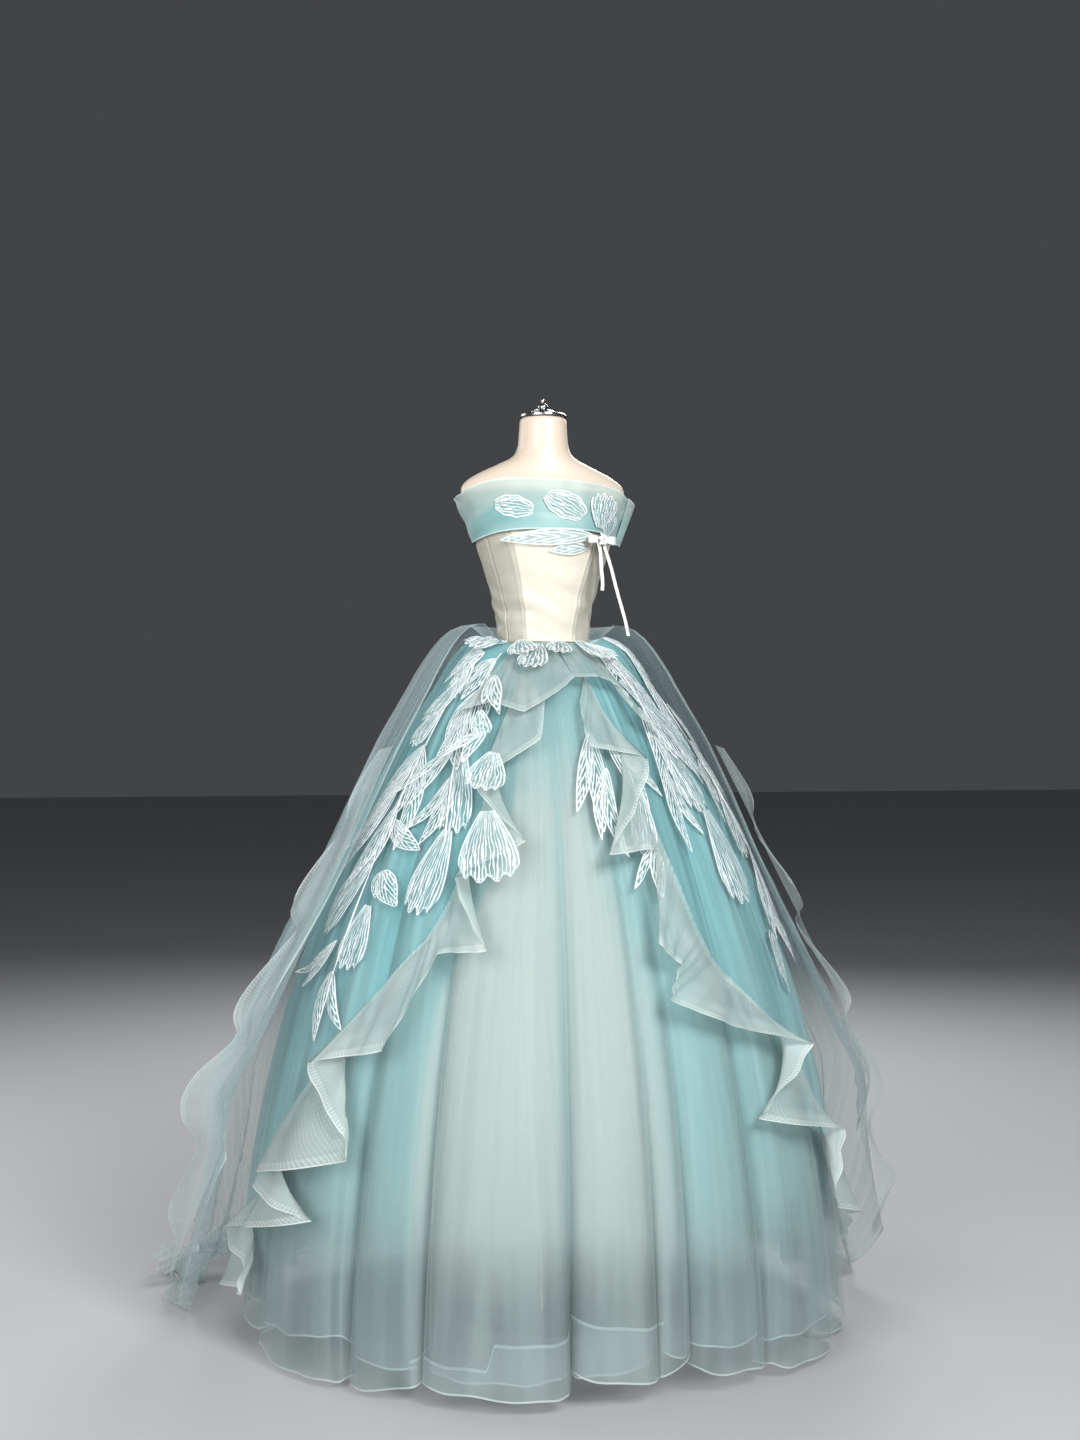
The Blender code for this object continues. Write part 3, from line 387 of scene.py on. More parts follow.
def organza_band_finish():
    f = Finish("band_organza")
    across, down = f.cloth_uv()
    grain = ((across + down * 0.35) * 2100.0).sine() * 0.5 + ((across * 0.35 - down) * 2100.0).sine() * 0.5
    cloud = f.noise(8.0, 3.0, (1.0, 2.5, 1.0), uv=True)
    deep = f.blend(cloud.step(0.30, 0.70), (0.17, 0.37, 0.38), (0.31, 0.48, 0.46))
    colour = f.blend(down.step(0.075, 0.012) * 0.75, deep, (0.45, 0.55, 0.51))
    colour = f.blend(down.step(0.0045, 0.003).over(down.step(0.106, 0.108)) * 0.6, colour, (0.62, 0.82, 0.80))
    density = lerp_value(0.97, 0.70, down.step(0.09, 0.0)) + grain * 0.04
    normal = f.bump(grain * 0.25 + cloud, 0.0014, 0.35)
    return f.surface(colour, 0.40 + cloud * 0.15, normal, density.clamped(), Sheen_Weight=0.3)


def net_mask(f, pitch):
    """A fine diagonal net, from 0 in its holes to 1 on its threads."""
    across, down = f.cloth_uv()
    turn = 2 * math.pi / pitch
    first = ((across + down) * turn).sine().away()
    second = ((across - down) * turn).sine().away()
    return 1.0 - (first * second)


def lerp_value(low, high, share):
    return share * (high - low) + low


def tulle_finish(name, aqua, pale, low, thin, thick, glow_colour, heights=(0.70, 0.04), horsehair=False):
    """Tulle from aqua to pale, which turns to its low colour between two heights above the floor: on the
    skirt's tulle layers that is painted shade, darker towards the floor, on the train a greyer colour and on
    the overskirt a paler one. Its mesh is from thin to thick, and a horsehair braid stiffens the front's hem."""
    f = Finish(name)
    x, y, z = f.object_xyz()
    pale_and_shade, above = f.tint()
    streaks = f.noise(3.0, 1.0, (12.0, 0.6, 1.0), uv=True)
    # Aqua to pale by the tint, which also holds painted shade in fold troughs and pleat hollows.
    colour = f.blend(pale_and_shade, aqua, pale)
    # Towards the floor the colour turns to the low colour, which on the skirt's tulle layers is painted
    # shade.
    colour = f.blend(z.step(*heights) * 0.8, colour, low)
    colour = f.blend(streaks.step(0.45, 0.75) * 0.22, colour, pale)
    net = net_mask(f, 0.0034)
    hem = above.step(0.0046, 0.0026)
    density = lerp_value(thin, thick, streaks.step(0.30, 0.70)) + net * 0.08 + hem * 0.45
    if horsehair:
        front = x.step(-0.37, -0.36) * x.step(0.11, 0.10) * y.step(0.0, -0.2)
        top = x.step(-0.24, -0.22) * 0.052 + 0.052
        stiff = (above - top).step(0.002, -0.001) * front
        seam = stiff - (above - top).step(-0.004, -0.007) * front
        density = density + stiff * (net * 0.20 + 0.06) + seam * 0.30
    colour = f.blend(hem * 0.7, colour, (0.74, 0.84, 0.84))
    normal = f.bump(net, 0.0004, 0.3)
    return f.surface(colour, 0.70, normal, density.clamped(), 0.35, glow_colour, Sheen_Weight=0.4)


def lining_finish():
    f = Finish("lining")
    pale_and_shade, above = f.tint()
    streaks = f.noise(3.0, 1.0, (20.0, 1.0, 1.0), uv=True)
    pale = f.blend(streaks, (0.60, 0.71, 0.66), (0.70, 0.79, 0.74))
    deep = f.blend(streaks, (0.30, 0.60, 0.63), (0.42, 0.70, 0.71))
    # Deep to pale by the tint, which also holds painted shade in fold troughs.
    colour = f.blend(pale_and_shade, deep, pale)
    density = above.step(0.0, 0.16) * 0.92 + 0.08
    normal = f.bump((f.cloth_uv()[0] * 900.0).sine(), 0.0004, 0.3)
    return f.surface(colour, 0.75, normal, density, 0.25, (0.6, 0.85, 0.84), Sheen_Weight=0.3)


def organza_finish(name, colour_low, colour_high, thin, thick, hem, glow_colour, ribs=0.0052):
    """Sheer organza with a diagonal rib and a stiff hem. Its second distance runs down from 0 at the seam
    to 1 at the free edge."""
    f = Finish(name)
    across, down = f.cloth_uv()
    turn = 2 * math.pi / ribs
    rib = ((across + down * 0.055) * turn).sine() * 0.5 + 0.5
    cross = ((across - down * 0.055) * turn).sine() * 0.5 + 0.5
    cloud = f.noise(7.0, 1.0, (1.0, 0.3, 1.0), uv=True)
    band = down.step(1.0 - hem, 1.0 - hem + 0.015)
    edge = down.step(0.972, 0.982)
    colour = f.blend((cloud * 0.7 + band * 0.25 + edge * 0.6).clamped(), colour_low, colour_high)
    density = lerp_value(thin, thick, cloud.step(0.25, 0.75)) + rib * cross * 0.16
    density = density + band * (0.06 + rib * 0.14) + edge * 0.40
    normal = f.bump(rib * 0.5 + cross * 0.5, 0.0012, 0.5)
    return f.surface(colour, 0.42, normal, density.clamped(), 0.35, glow_colour, Sheen_Weight=0.35)


def embroidery_finish(name, bare, veined=False, thread_colour=(0.86, 0.90, 0.91)):
    """Corded embroidery: threads along each petal or veins across each leaf, cords round its edge, and net
    between. Its tint holds the distance from the edge in metres, and the veins' count."""
    f = Finish(name)
    across, along = f.cloth_uv()
    from_edge, veins = f.tint()
    wobble = f.noise(5.0, 1.0, (0.22, 0.9, 1.0), uv=True)
    row = (veins + wobble * 0.6).fraction() if veined else (across + wobble * 1.6).fraction()
    thread = (row - 0.5).away().step(0.23, 0.12)
    twist = (along * 420.0 + across * 7.0).sine() * 0.08 + 0.90
    cords = (thread * twist).over(from_edge.step(0.0030, 0.0020))
    second = from_edge.step(0.0062, 0.0068) * from_edge.step(0.0084, 0.0078)
    cords = cords.over(second * 0.8)
    density = cords * (1.0 - bare) + bare
    colour = f.blend(cords, (0.46, 0.72, 0.75), thread_colour)
    normal = f.bump(cords * twist, 0.0012, 0.5)
    return f.surface(colour, 0.5, normal, density.clamped(), 0.1, (0.9, 0.96, 0.96), Sheen_Weight=0.6)


def ribbon_finish():
    f = Finish("white_ribbon")
    across, down = f.cloth_uv()
    weave = (down * 3200.0).sine() * 0.5 + 0.5
    cloud = f.noise(40.0, 2.0)
    colour = f.blend(cloud, (0.86, 0.87, 0.86), (0.95, 0.95, 0.94))
    return f.surface(colour, 0.30 + cloud * 0.1, f.bump(weave * 0.4 + cloud, 0.0004, 0.4), Sheen_Weight=0.2)


def shell_finish():
    f = Finish("form_shell")
    cloud = f.noise(6.0, 3.0)
    fine = f.noise(190.0, 2.0)
    colour = f.blend(cloud, (0.64, 0.53, 0.43), (0.74, 0.63, 0.52))
    return f.surface(colour, 0.36 + fine * 0.10, f.bump(fine * 0.2 + cloud, 0.0006, 0.2))


def metal_finish(name, dark, light, roughness, grain):
    f = Finish(name)
    streaks = f.noise(grain, 3.0, (1.0, 1.0, 0.06))
    colour = f.blend(streaks, dark, light)
    return f.surface(colour, roughness + streaks * 0.08, f.bump(streaks, 0.0002, 0.3), Metallic=1.0)


def make_finishes():
    # low is painted shade: the skirt's tulle turns darker towards the floor.
    pale, low = (0.63, 0.76, 0.73), (0.41, 0.53, 0.54)
    return {
        "satin": satin_finish("ivory_satin", (0.64, 0.60, 0.50), (0.76, 0.72, 0.61)),
        # A darker copy of the ivory satin with painted shade, for the side panels that turn away from the
        # light.
        "satin_side": satin_finish("ivory_satin_painted_shade", (0.40, 0.385, 0.32), (0.52, 0.50, 0.42)),
        "band": organza_band_finish(),
        "tulle": tulle_finish(
            "tulle_outer", (0.38, 0.66, 0.68), pale, low, 0.20, 0.32, (0.6, 0.78, 0.77), horsehair=True
        ),
        "tulle_inner": tulle_finish(
            "tulle_inner", (0.34, 0.63, 0.65), pale, low, 0.30, 0.44, (0.6, 0.78, 0.77)
        ),
        "lining": lining_finish(),
        "overskirt": tulle_finish(
            "tulle_overskirt", (0.22, 0.64, 0.70), (0.42, 0.80, 0.84), (0.45, 0.72, 0.75), 0.40, 0.58,
            (0.4, 0.75, 0.78), (0.95, 0.40)
        ),
        "train": tulle_finish(
            "train_veil", (0.46, 0.66, 0.68), (0.62, 0.78, 0.79), (0.56, 0.68, 0.69), 0.22, 0.40,
            (0.5, 0.7, 0.72)
        ),
        "flounce": organza_finish(
            "flounce_organza", (0.54, 0.71, 0.68), (0.86, 0.93, 0.90), 0.40, 0.62, 0.15, (0.6, 0.8, 0.78)
        ),
        "train_flounce": organza_finish(
            "train_organza", (0.54, 0.68, 0.68), (0.78, 0.86, 0.86), 0.26, 0.42, 0.14, (0.5, 0.68, 0.7)
        ),
        "petal": embroidery_finish("corded_petals", 0.24),
        "leaf": embroidery_finish("corded_leaves", 0.14, veined=True),
        "sheer_leaf": embroidery_finish("sheer_leaf", 0.38, veined=True, thread_colour=(0.82, 0.92, 0.92)),
        "ribbon": ribbon_finish(),
        "shell": shell_finish(),
        "chrome": metal_finish("polished_chrome", (0.34, 0.34, 0.35), (0.50, 0.50, 0.51), 0.20, 30.0),
        "steel": metal_finish("brushed_steel", (0.42, 0.42, 0.44), (0.62, 0.62, 0.64), 0.30, 90.0),
    }


# ---- the forms that cloth follows ----
def lerp(a, b, share):
    return a + (b - a) * share


def smoothstep(x):
    x = min(1.0, max(0.0, x))
    return x * x * (3 - 2 * x)


def between(keys, at):
    """The last key that at has passed, and how far at lies from it towards the next."""
    i = min(max(bisect.bisect_right(keys, at) - 1, 0), len(keys) - 2)
    return i, min(1.0, max(0.0, (at - keys[i]) / (keys[i + 1] - keys[i])))


def table_value(rows, key, at, column):
    i, share = between([row[key] for row in rows], at)
    return lerp(rows[i][column], rows[i + 1][column], share)


def smooth_through(keys, values, at):
    """A smooth curve through values that stand at keys."""
    i, share = between(keys, at)
    span = keys[i + 1] - keys[i]

    def slope(k):
        low, high = max(k - 1, 0), min(k + 1, len(keys) - 1)
        return (values[high] - values[low]) / (keys[high] - keys[low])

    s2, s3 = share * share, share ** 3
    return (
        (2 * s3 - 3 * s2 + 1) * values[i]
        + (s3 - 2 * s2 + share) * span * slope(i)
        + (3 * s2 - 2 * s3) * values[i + 1]
        + (s3 - s2) * span * slope(i + 1)
    )


def creased_through(keys, values, at, crease):
    """A curve through values, from smooth where crease is 0 to sharply bent at its keys where it is 1."""
    i, share = between(keys, at)
    return lerp(smooth_through(keys, values, at), lerp(values[i], values[i + 1], share), crease)


def smooth_table_value(rows, key, at, column):
    return smooth_through([row[key] for row in rows], [row[column] for row in rows], at)


def oval_point(angle, side, front, back, z):
    a = math.radians(angle)
    depth = front if math.cos(a) > 0 else back
    return Vector((side * math.sin(a), -depth * math.cos(a), z))


def body_point(angle, z, out):
    side, front, back = (smooth_table_value(FORM_SECTIONS, "z", z, k) for k in ("side", "front", "back"))
    return oval_point(angle, side + out, front + out, back + out, z)


def band_point(angle, height, out):
    facing = math.cos(math.radians(angle))

    def edge_z(edge):
        end = edge["z_front"] if facing > 0 else edge["z_back"]
        return lerp(edge["z_side"], end, smoothstep(abs(facing)))

    side, front, back = (lerp(BAND_LOWER[k], BAND_UPPER[k], height) for k in ("side", "front", "back"))
    z = lerp(edge_z(BAND_LOWER), edge_z(BAND_UPPER), height)
    z -= 0.0075 * math.sin(math.radians(angle)) * height
    return oval_point(angle, side + out, front + out, back + out, z)


def fold_starts():
    starts = [FIRST_FOLD]
    for fold in FOLDS:
        starts.append(starts[-1] + fold["width"])
    return starts


FOLD_STARTS = fold_starts()


def fold_at(angle):
    """The fold that an angle falls in, and how far across it."""
    turned = (angle - FIRST_FOLD) % 360.0 + FIRST_FOLD
    k = min(bisect.bisect_right(FOLD_STARTS, turned) - 1, len(FOLDS) - 1)
    return k, (turned - FOLD_STARTS[k]) / FOLDS[k]["width"]


def fold_depth(angle, t, bridged=0.0):
    k, across = fold_at(angle)
    ridge = max(bridged, math.sin(math.pi * across) ** 0.6)
    return max(t, 0.0) ** 1.2 * (FOLDS[k]["crest"] * ridge - TROUGH)


def plain_radius(t):
    puff = PUFF * (1 - math.exp(-max(t, 0.0) / PUFF_DEPTH))
    return WAIST_HALF_WIDTH + puff + SKIRT_SPREAD * (1 - (1 - t) ** SKIRT_ROUNDNESS)


def slant(t):
    """Metres down the skirt's slope for each unit of depth."""
    flare = PUFF / PUFF_DEPTH * math.exp(-max(t, 0.0) / PUFF_DEPTH)
    flare += SKIRT_SPREAD * SKIRT_ROUNDNESS * max(0.0, 1 - t) ** (SKIRT_ROUNDNESS - 1)
    return math.hypot(WAIST_Z - HEM_Z, flare)


def from_front(angle):
    """Degrees round from the centre front, whichever way is shorter."""
    return abs((angle + 180) % 360 - 180)


def bell(x, centre, width):
    """1 at the centre, and less and less beyond the width on both sides."""
    return math.exp(-(((x - centre) / width) ** 2))


def waist_rise(t, height, middle, width):
    """How far full cloth stands up round the waist before it falls."""
    return height * bell(t, middle, width) * smoothstep(t / 0.010)


def waist_puff(angle, t):
    return waist_rise(t, 0.036, 0.026, 0.034) * smoothstep((from_front(angle) - 34) / 32)


def round_point(angle, t, r):
    depth_ratio = lerp(WAIST_DEPTH_RATIO, 1.0, smoothstep(t / ROUND_BY))
    a = math.radians(angle)
    z = lerp(WAIST_Z, HEM_Z, t) + waist_puff(angle, t)
    return Vector((r * math.sin(a), -r * depth_ratio * math.cos(a), z))


def skirt_point(angle, t, out, bridged=0.0):
    return round_point(angle, t, plain_radius(t) + fold_depth(angle, t, bridged) + out)


def layer_gap(t):
    return lerp(WAIST_LAYER_GAP, LAYER_GAP, min(1.0, max(0.0, t / 0.08)))


def gathers(angle, t, seed):
    """Soft pleats that leave the waist seam and run down, as a share of their greatest height."""
    a = math.radians(angle)
    slow = math.sin(5 * a + seed) + math.sin(9 * a + 2.1 * seed)
    wide = math.sin(31 * a + 2.1 * slow + seed)
    middle = math.sin(67 * a + 1.7 * slow + 4 * seed) * math.sin(4 * a + 3 * seed)
    fine = math.sin(113 * a + 2.3 * slow + 7 * seed)
    share = smoothstep(t / 0.5)
    return (0.2 + 0.5 * share) * wide + (0.5 - 0.2 * share) * middle + (0.3 - 0.2 * share) * fine


def pleat_height(t):
    return 0.0014 + 0.0012 * smoothstep(t / 0.3) + 0.0014 * t


def paleness_and_fold_shade(angle, t):
    """1 on the pale front of the skirt and 0 on its aqua sides. Painted shade: fold troughs are painted
    deeper aqua, and on the sides the crests are painted paler.
    """
    turned = (angle + 180.0) % 360.0 - 180.0
    left = smooth_through([0.0, 0.3, 0.5, 1.0], [2.0, 5.0, 12.0, 15.0], t)
    right = smooth_through([0.0, 0.3, 0.5, 1.0], [-16.0, -24.0, -36.0, -37.0], t)
    inside = smoothstep((turned - right) / 4.0 + 0.5) * smoothstep((left - turned) / 14.0 + 0.5)
    # Painted shade in each fold's trough, and painted light on its crest.
    trough_shade = (1 - math.sin(math.pi * fold_at(angle)[1])) ** 4
    front = smoothstep((t - 0.06) / 0.22) * (1 - 0.6 * trough_shade)
    return inside * front + (1 - inside) * 0.25 * (1 - trough_shade) * t


def overskirt_depth(angle):
    rows = EDGE_LEFT if angle % 360 < 180 else EDGE_RIGHT
    return table_value(rows, "angle", from_front(angle), "t")


def train_edge(t):
    return smooth_table_value(TRAIN_EDGE, "t", t, "angle")


def train_point(angle, t, out):
    back_share = smoothstep((from_front(angle) - 95) / 70)
    side_off = smooth_table_value(TRAIN_SIDE_OFF, "t", t, "off")
    back_off = smooth_table_value(TRAIN_BACK_OFF, "t", t, "off")
    off = 2 * layer_gap(t) + TRAIN_LIFT * min(1.0, t / 0.06) + lerp(side_off, back_off, back_share) - 0.03 * t
    place = skirt_point(angle, t, off + out)
    place.z = lerp(WAIST_Z, HEM_Z + 0.0015 + max(out, 0), min(1.0, t / TRAIN_ON_FLOOR_FROM))
    return place


def train_ripple(angle, t):
    a = math.radians(angle)
    bend = a + 0.05 * math.sin(7 * t + 3 * a)
    wide = 1 - abs(math.sin(5.5 * bend + 0.9)) ** 0.7
    second = 1 - abs(math.sin(9.5 * bend + 2.0 + 2.5 * t)) ** 0.7
    narrow = math.sin(41 * a + 2.0 * math.sin(6 * a)) * 0.003
    return (wide * 0.020 + second * 0.012 - 0.012 + narrow) * smoothstep(t / 0.4)


def skirt_spot(angle, t, across, down, out):
    new_t = t + down / slant(t + 0.5 * down / slant(t + 0.02))
    return skirt_point(angle + math.degrees(across / max(plain_radius(new_t), 0.09)), new_t, out)


# ---- cloth ----
def add_cloth(bm, columns, rows, place, size, tint=None, material=0):
    """A sheet of cloth in a mesh. place(u, v) gives its surface for u and v from 0 to 1, size its width and
    length for the weave, in metres, and tint(u, v) how pale it is, with painted shade in its folds, and how
    far it lies above its hem."""
    uv = bm.loops.layers.uv.get("cloth") or bm.loops.layers.uv.new("cloth")
    if tint:
        tints = bm.loops.layers.uv.get("tint") or bm.loops.layers.uv.new("tint")
    made = bmesh.ops.create_grid(bm, x_segments=columns, y_segments=rows, size=0.5)["verts"]
    spot = {vert: (vert.co.x + 0.5, 0.5 - vert.co.y) for vert in made}
    for vert, (u, v) in spot.items():
        vert.co = place(u, v)
    for face in {face for vert in made for face in vert.link_faces}:
        face.smooth = True
        face.material_index = material
        for loop in face.loops:
            u, v = spot[loop.vert]
            loop[uv].uv = (u * size[0], v * size[1])
            if tint:
                loop[tints].uv = tint(u, v)


def turn_out(bm):
    """Turns an open sheet's faces away from the body's axis."""
    outward = 0.0
    for face in bm.faces:
        middle = face.calc_center_median()
        outward += face.normal.x * middle.x + face.normal.y * middle.y
    if outward < 0:
        bmesh.ops.reverse_faces(bm, faces=bm.faces[:])


def smooth_faces(bm):
    for face in bm.faces:
        face.smooth = True


def add_to_scene(name, data):
    made = bpy.data.objects.new(name, data)
    bpy.context.scene.collection.objects.link(made)
    return made


def finish_piece(name, bm, finishes, slot_name, nodes=()):
    mesh = bpy.data.meshes.new(name)
    bm.normal_update()
    turn_out(bm)
    bm.to_mesh(mesh)
    bm.free()
    for finish in finishes.split():
        mesh.materials.append(FINISHES[finish])
    piece = add_to_scene(name, mesh)
    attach(piece, "root")
    if nodes:
        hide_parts(*nodes)
    return piece


# What each sheet is cut from: how it is held, the width of its strip or panel in metres, the share of that
# rectangle that its cut fills, and what it rests on.
ON_OVERSKIRT = ["aqua_overskirt_left", "aqua_overskirt_right"]
CUTS = {
    "bodice": ("stretched", 0.27, 1.0, ["form_shell"]),
    "band": ("stretched", 0.11, 1.0, ["form_shell", "satin_bodice_centre_front"]),
    "gore": ("gathered", None, 0.72, ["form_shell"]),
    "overskirt": ("gathered", 1.2, 0.72, ["form_shell"]),
    "train": ("gathered", 1.3, 0.72, ["form_shell"]),
    "flounce": ("gathered", 0.13, 1.0, ON_OVERSKIRT),
    "train_flounce": ("gathered", 0.10, 1.0, ["veil_train_side_left", "veil_train_side_right"]),
    "branch": ("laid", 0.16, 0.5, ON_OVERSKIRT),
    "waist_tulip": ("laid", 0.06, 0.6, ["organza_swag_left", "organza_swag_right"]),
    "band_motif": ("laid", 0.07, 0.6, ["organza_bust_band_front"]),
    "bust_leaf": ("laid", 0.05, 0.6, ["satin_bodice_centre_front"]),
    "bow_loop": ("folded", None, 1.0, ["ribbon_bow_knot"]),
    "bow_tail": ("hung", RIBBON_WIDTH, 1.0, ["ribbon_bow_knot"]),
}


def declare_sheet(piece, cut, width=None):
    """Works out the flat length a sheet was cut to from its finished area, and keeps nothing."""
    held, cut_width, filled, rests_on = CUTS[cut]
    width = width or cut_width
    area = sum(polygon.area for polygon in piece.data.polygons)
    length = area / (width * filled)


def sheet_piece(prefix, node, columns, rows, place, size, finish, slot_name, cut, tint=None, cut_width=None,
                stands_in=True):
    """One sheet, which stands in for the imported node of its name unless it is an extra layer."""
    bm = bmesh.new()
    add_cloth(bm, columns, rows, place, size, tint)
    piece = finish_piece(prefix + node, bm, finish, slot_name, [node] if stands_in else [])
    declare_sheet(piece, cut, cut_width)


# ---- bodice and band ----
def bodice_top_z(angle):
    facing = math.cos(math.radians(angle))
    return lerp(1.712, 1.728 if facing > 0 else 1.700, smoothstep(abs(facing)))


def satin_wrinkle(angle, z):
    """Soft creases that run across the bodice, strongest over the waist."""
    a = math.radians(angle)
    height = (z - BODICE_BOTTOM_Z) / 0.25
    low = math.sin(95 * z + 2.2 * math.sin(2.5 * a + 1.0) + 0.8 * math.sin(31 * z)) * smoothstep(1.1 - height)
    drag = math.sin(150 * z + 5.0 * a + 1.5 * math.sin(4 * a)) * bell(height, 0.30, 0.22)
    fan = math.sin(6 * a + 60 * z) * bell(height, 0.62, 0.25)
    return 0.0015 * low + 0.0013 * drag + 0.0007 * fan


def make_bodice():
    for panel in BODICE_PANELS:

        def place(u, v, panel=panel):
            share = 1 - v
            low = lerp(panel["waist"][0], panel["bust"][0], share)
            high = lerp(panel["waist"][1], panel["bust"][1], share)
            angle = lerp(low, high, u)
            z = lerp(bodice_top_z(angle), BODICE_BOTTOM_Z, v)
            from_seam = min(u, 1 - u) * math.radians(high - low) * 0.11
            seam = 0.0006 * bell(from_seam, 0.0055, 0.003) - 0.0016 * bell(from_seam, 0.0, 0.0022)
            out = FORM_CLEARANCE + SATIN * 0.8 + satin_wrinkle(angle, z) + seam
            return body_point(angle, z, out)

        # The side-front and side panels take the satin with painted shade.
        finish = "satin" if "centre" in panel["node"] or "back" in panel["node"] else "satin_side"
        columns, size = panel["columns"], (0.15, 0.27)
        sheet_piece("satin_", panel["node"], columns, 90, place, size, finish, "satin", "bodice")


def make_band():
    for panel in BAND_PANELS:

        def place(u, v, panel=panel):
            angle = lerp(panel["angles"][0], panel["angles"][1], u)
            height = 1 - v
            a = math.radians(angle)
            sag = 0.0022 * math.sin(3.2 * math.pi * height + 1.6 * math.sin(2 * a))
            sag *= math.sin(math.pi * height)
            rim = 0.0012 * (bell(v, 0.0, 0.05) + bell(v, 1.0, 0.05))
            ripple = 0.0012 * math.sin(17 * a + 2 * math.sin(4 * a)) * height
            return band_point(angle, height, 0.0006 + sag + rim + ripple)

        width = math.radians(panel["angles"][1] - panel["angles"][0]) * 0.15
        bm = bmesh.new()
        add_cloth(bm, panel["columns"], 30, place, (width, 0.11))
        if panel["node"] == "bust_band_front":
            add_cloth(bm, 24, 24, band_flap, (0.06, 0.11))
        piece = finish_piece("organza_" + panel["node"], bm, "band", "band_organza", [panel["node"]])
        declare_sheet(piece, "band")


def band_flap(u, v):
    """The band's end, folded back on itself over the wearer's left side."""
    angle = lerp(64 + 10 * v, 96, u)
    fold = math.sin(math.pi * min(1.0, u * 1.15)) * 0.006
    return band_point(angle, 1.0 - v * 1.06, 0.004 + fold + 0.016 * v * u)


# ---- skirts ----
TULLE_GORES = table(
    "node angles",
    ("tulle_skirt_side_right", (-102, -34)), ("tulle_skirt_front", (-34, 33)),
    ("tulle_skirt_side_left", (33, 98)), ("tulle_skirt_back_left", (98, 179)),
    ("tulle_skirt_back_right", (179, 258)),
)
LINING_GORES = table(
    "node angles",
    ("lining_front", (-80, 80)), ("lining_back_left", (80, 179)), ("lining_back_right", (179, 280)),
)


def swung(angle, t, amount):
    """Spreads each fold's crest over its troughs, as full cloth does near its hem."""
    k, across = fold_at(angle)
    return angle - amount * FOLDS[k]["width"] * math.sin(2 * math.pi * across) * t ** 1.6


def hem_depth(angle, seed, uneven):
    """The depth that a layer's hem hangs to, which steps from one fold to the next."""
    k, across = fold_at(angle)

    def drop(fold, at):
        fold %= len(FOLDS)
        own = (math.sin(fold * 7.3 + seed) * 0.5 + 0.5) * 0.7
        skew = math.sin(fold * 4.1 + 2 * seed) * 0.75 * (at - 0.45)
        return max(0.0, own + skew) * uneven

    step = lerp(drop(k, across), drop(k + 1, 0.0), smoothstep((across - 0.86) / 0.14))
    wave = math.sin(math.radians(angle) * 37 + seed) + math.sin(math.radians(angle) * 61 + 2 * seed)
    return 1.0 - 0.0035 - step - 0.0012 * (2 + wave) - 0.004 * math.cos(math.pi * across) ** 2


SKIRT_LAYERS = [
    dict(prefix="silk_", gores=LINING_GORES, finish="lining", slot="lining", stands_in=True, per_degree=1.6,
         rows=60, ends_at=0.87, offset=-1.0, seed=0.4, swing=0.0, uneven=0.02),
    dict(prefix="under_", gores=TULLE_GORES, finish="tulle_inner", slot="tulle", stands_in=False,
         per_degree=2.6, rows=70, ends_at=0.968, offset=-0.35, seed=1.9, swing=0.10, uneven=0.034),
    dict(prefix="outer_", gores=TULLE_GORES, finish="tulle", slot="tulle", stands_in=True, per_degree=3.4,
         rows=80, ends_at=1.0, offset=0.15, seed=3.1, swing=0.15, uneven=0.048),
]


def make_skirt_layer(layer):
    seed = layer["seed"]
    for gore in layer["gores"]:
        low, high = gore["angles"]

        def depth(u, v, low=low, high=high):
            angle = lerp(low, high, u)
            return angle, v ** 1.2 * layer["ends_at"] * hem_depth(angle, seed, layer["uneven"])

        def place(u, v):
            angle, t = depth(u, v)
            pleat = pleat_height(t) * gathers(angle, t, seed)
            return folded_point(angle, t, layer["offset"] * layer_gap(t) + 0.0006 + pleat, layer["swing"])

        def tint(u, v):
            angle, t = depth(u, v)
            return paleness_and_fold_shade(angle, t), (depth(u, 1.0)[1] - t) * slant(t)

        width = math.radians(high - low) * 0.62
        columns = round((high - low) * layer["per_degree"])
        sheet_piece(layer["prefix"], gore["node"], columns, layer["rows"], place, (width, 1.6),
                    layer["finish"], layer["slot"], "gore", tint, width * 1.25, layer["stands_in"])


def folded_point(angle, t, lift, swing):
    """A place on a fold whose crest leans over the troughs beside it."""
    r = plain_radius(t) + fold_depth(angle, t) + lift
    return round_point(swung(angle, t, swing), t, r)


def make_overskirt():
    for node, low, high in (
        ("overskirt_left", 11.5, 122), ("overskirt_right", -120, -13.5), ("overskirt_back", 122, 240)
    ):

        def depth(u, v, low=low, high=high):
            angle = lerp(low, high, u)
            return angle, v ** 1.2 * overskirt_depth(angle)

        def place(u, v):
            angle, t = depth(u, v)
            pleat = (pleat_height(t) + 0.0012) * gathers(angle, t, 5.2)
            return folded_point(angle, t, layer_gap(t) + 0.0015 + pleat, 0.06)

        # Painted light and shade on the pleats: the pale share follows the pleats' own heights, so their
        # crests are painted paler and their hollows deeper aqua.
        def tint(u, v):
            angle, t = depth(u, v)
            return 0.5 + 0.5 * gathers(angle, t, 5.2), (depth(u, 1.0)[1] - t) * slant(t)

        columns = round((high - low) * 3)
        size = (1.1, 1.5)
        sheet_piece("aqua_", node, columns, 70, place, size, "overskirt", "overskirt", "overskirt", tint)


def veil_point(angle, t, out):
    place = train_point(angle, t, out)
    place.z += waist_rise(t, 0.072, 0.028, 0.036)
    return place


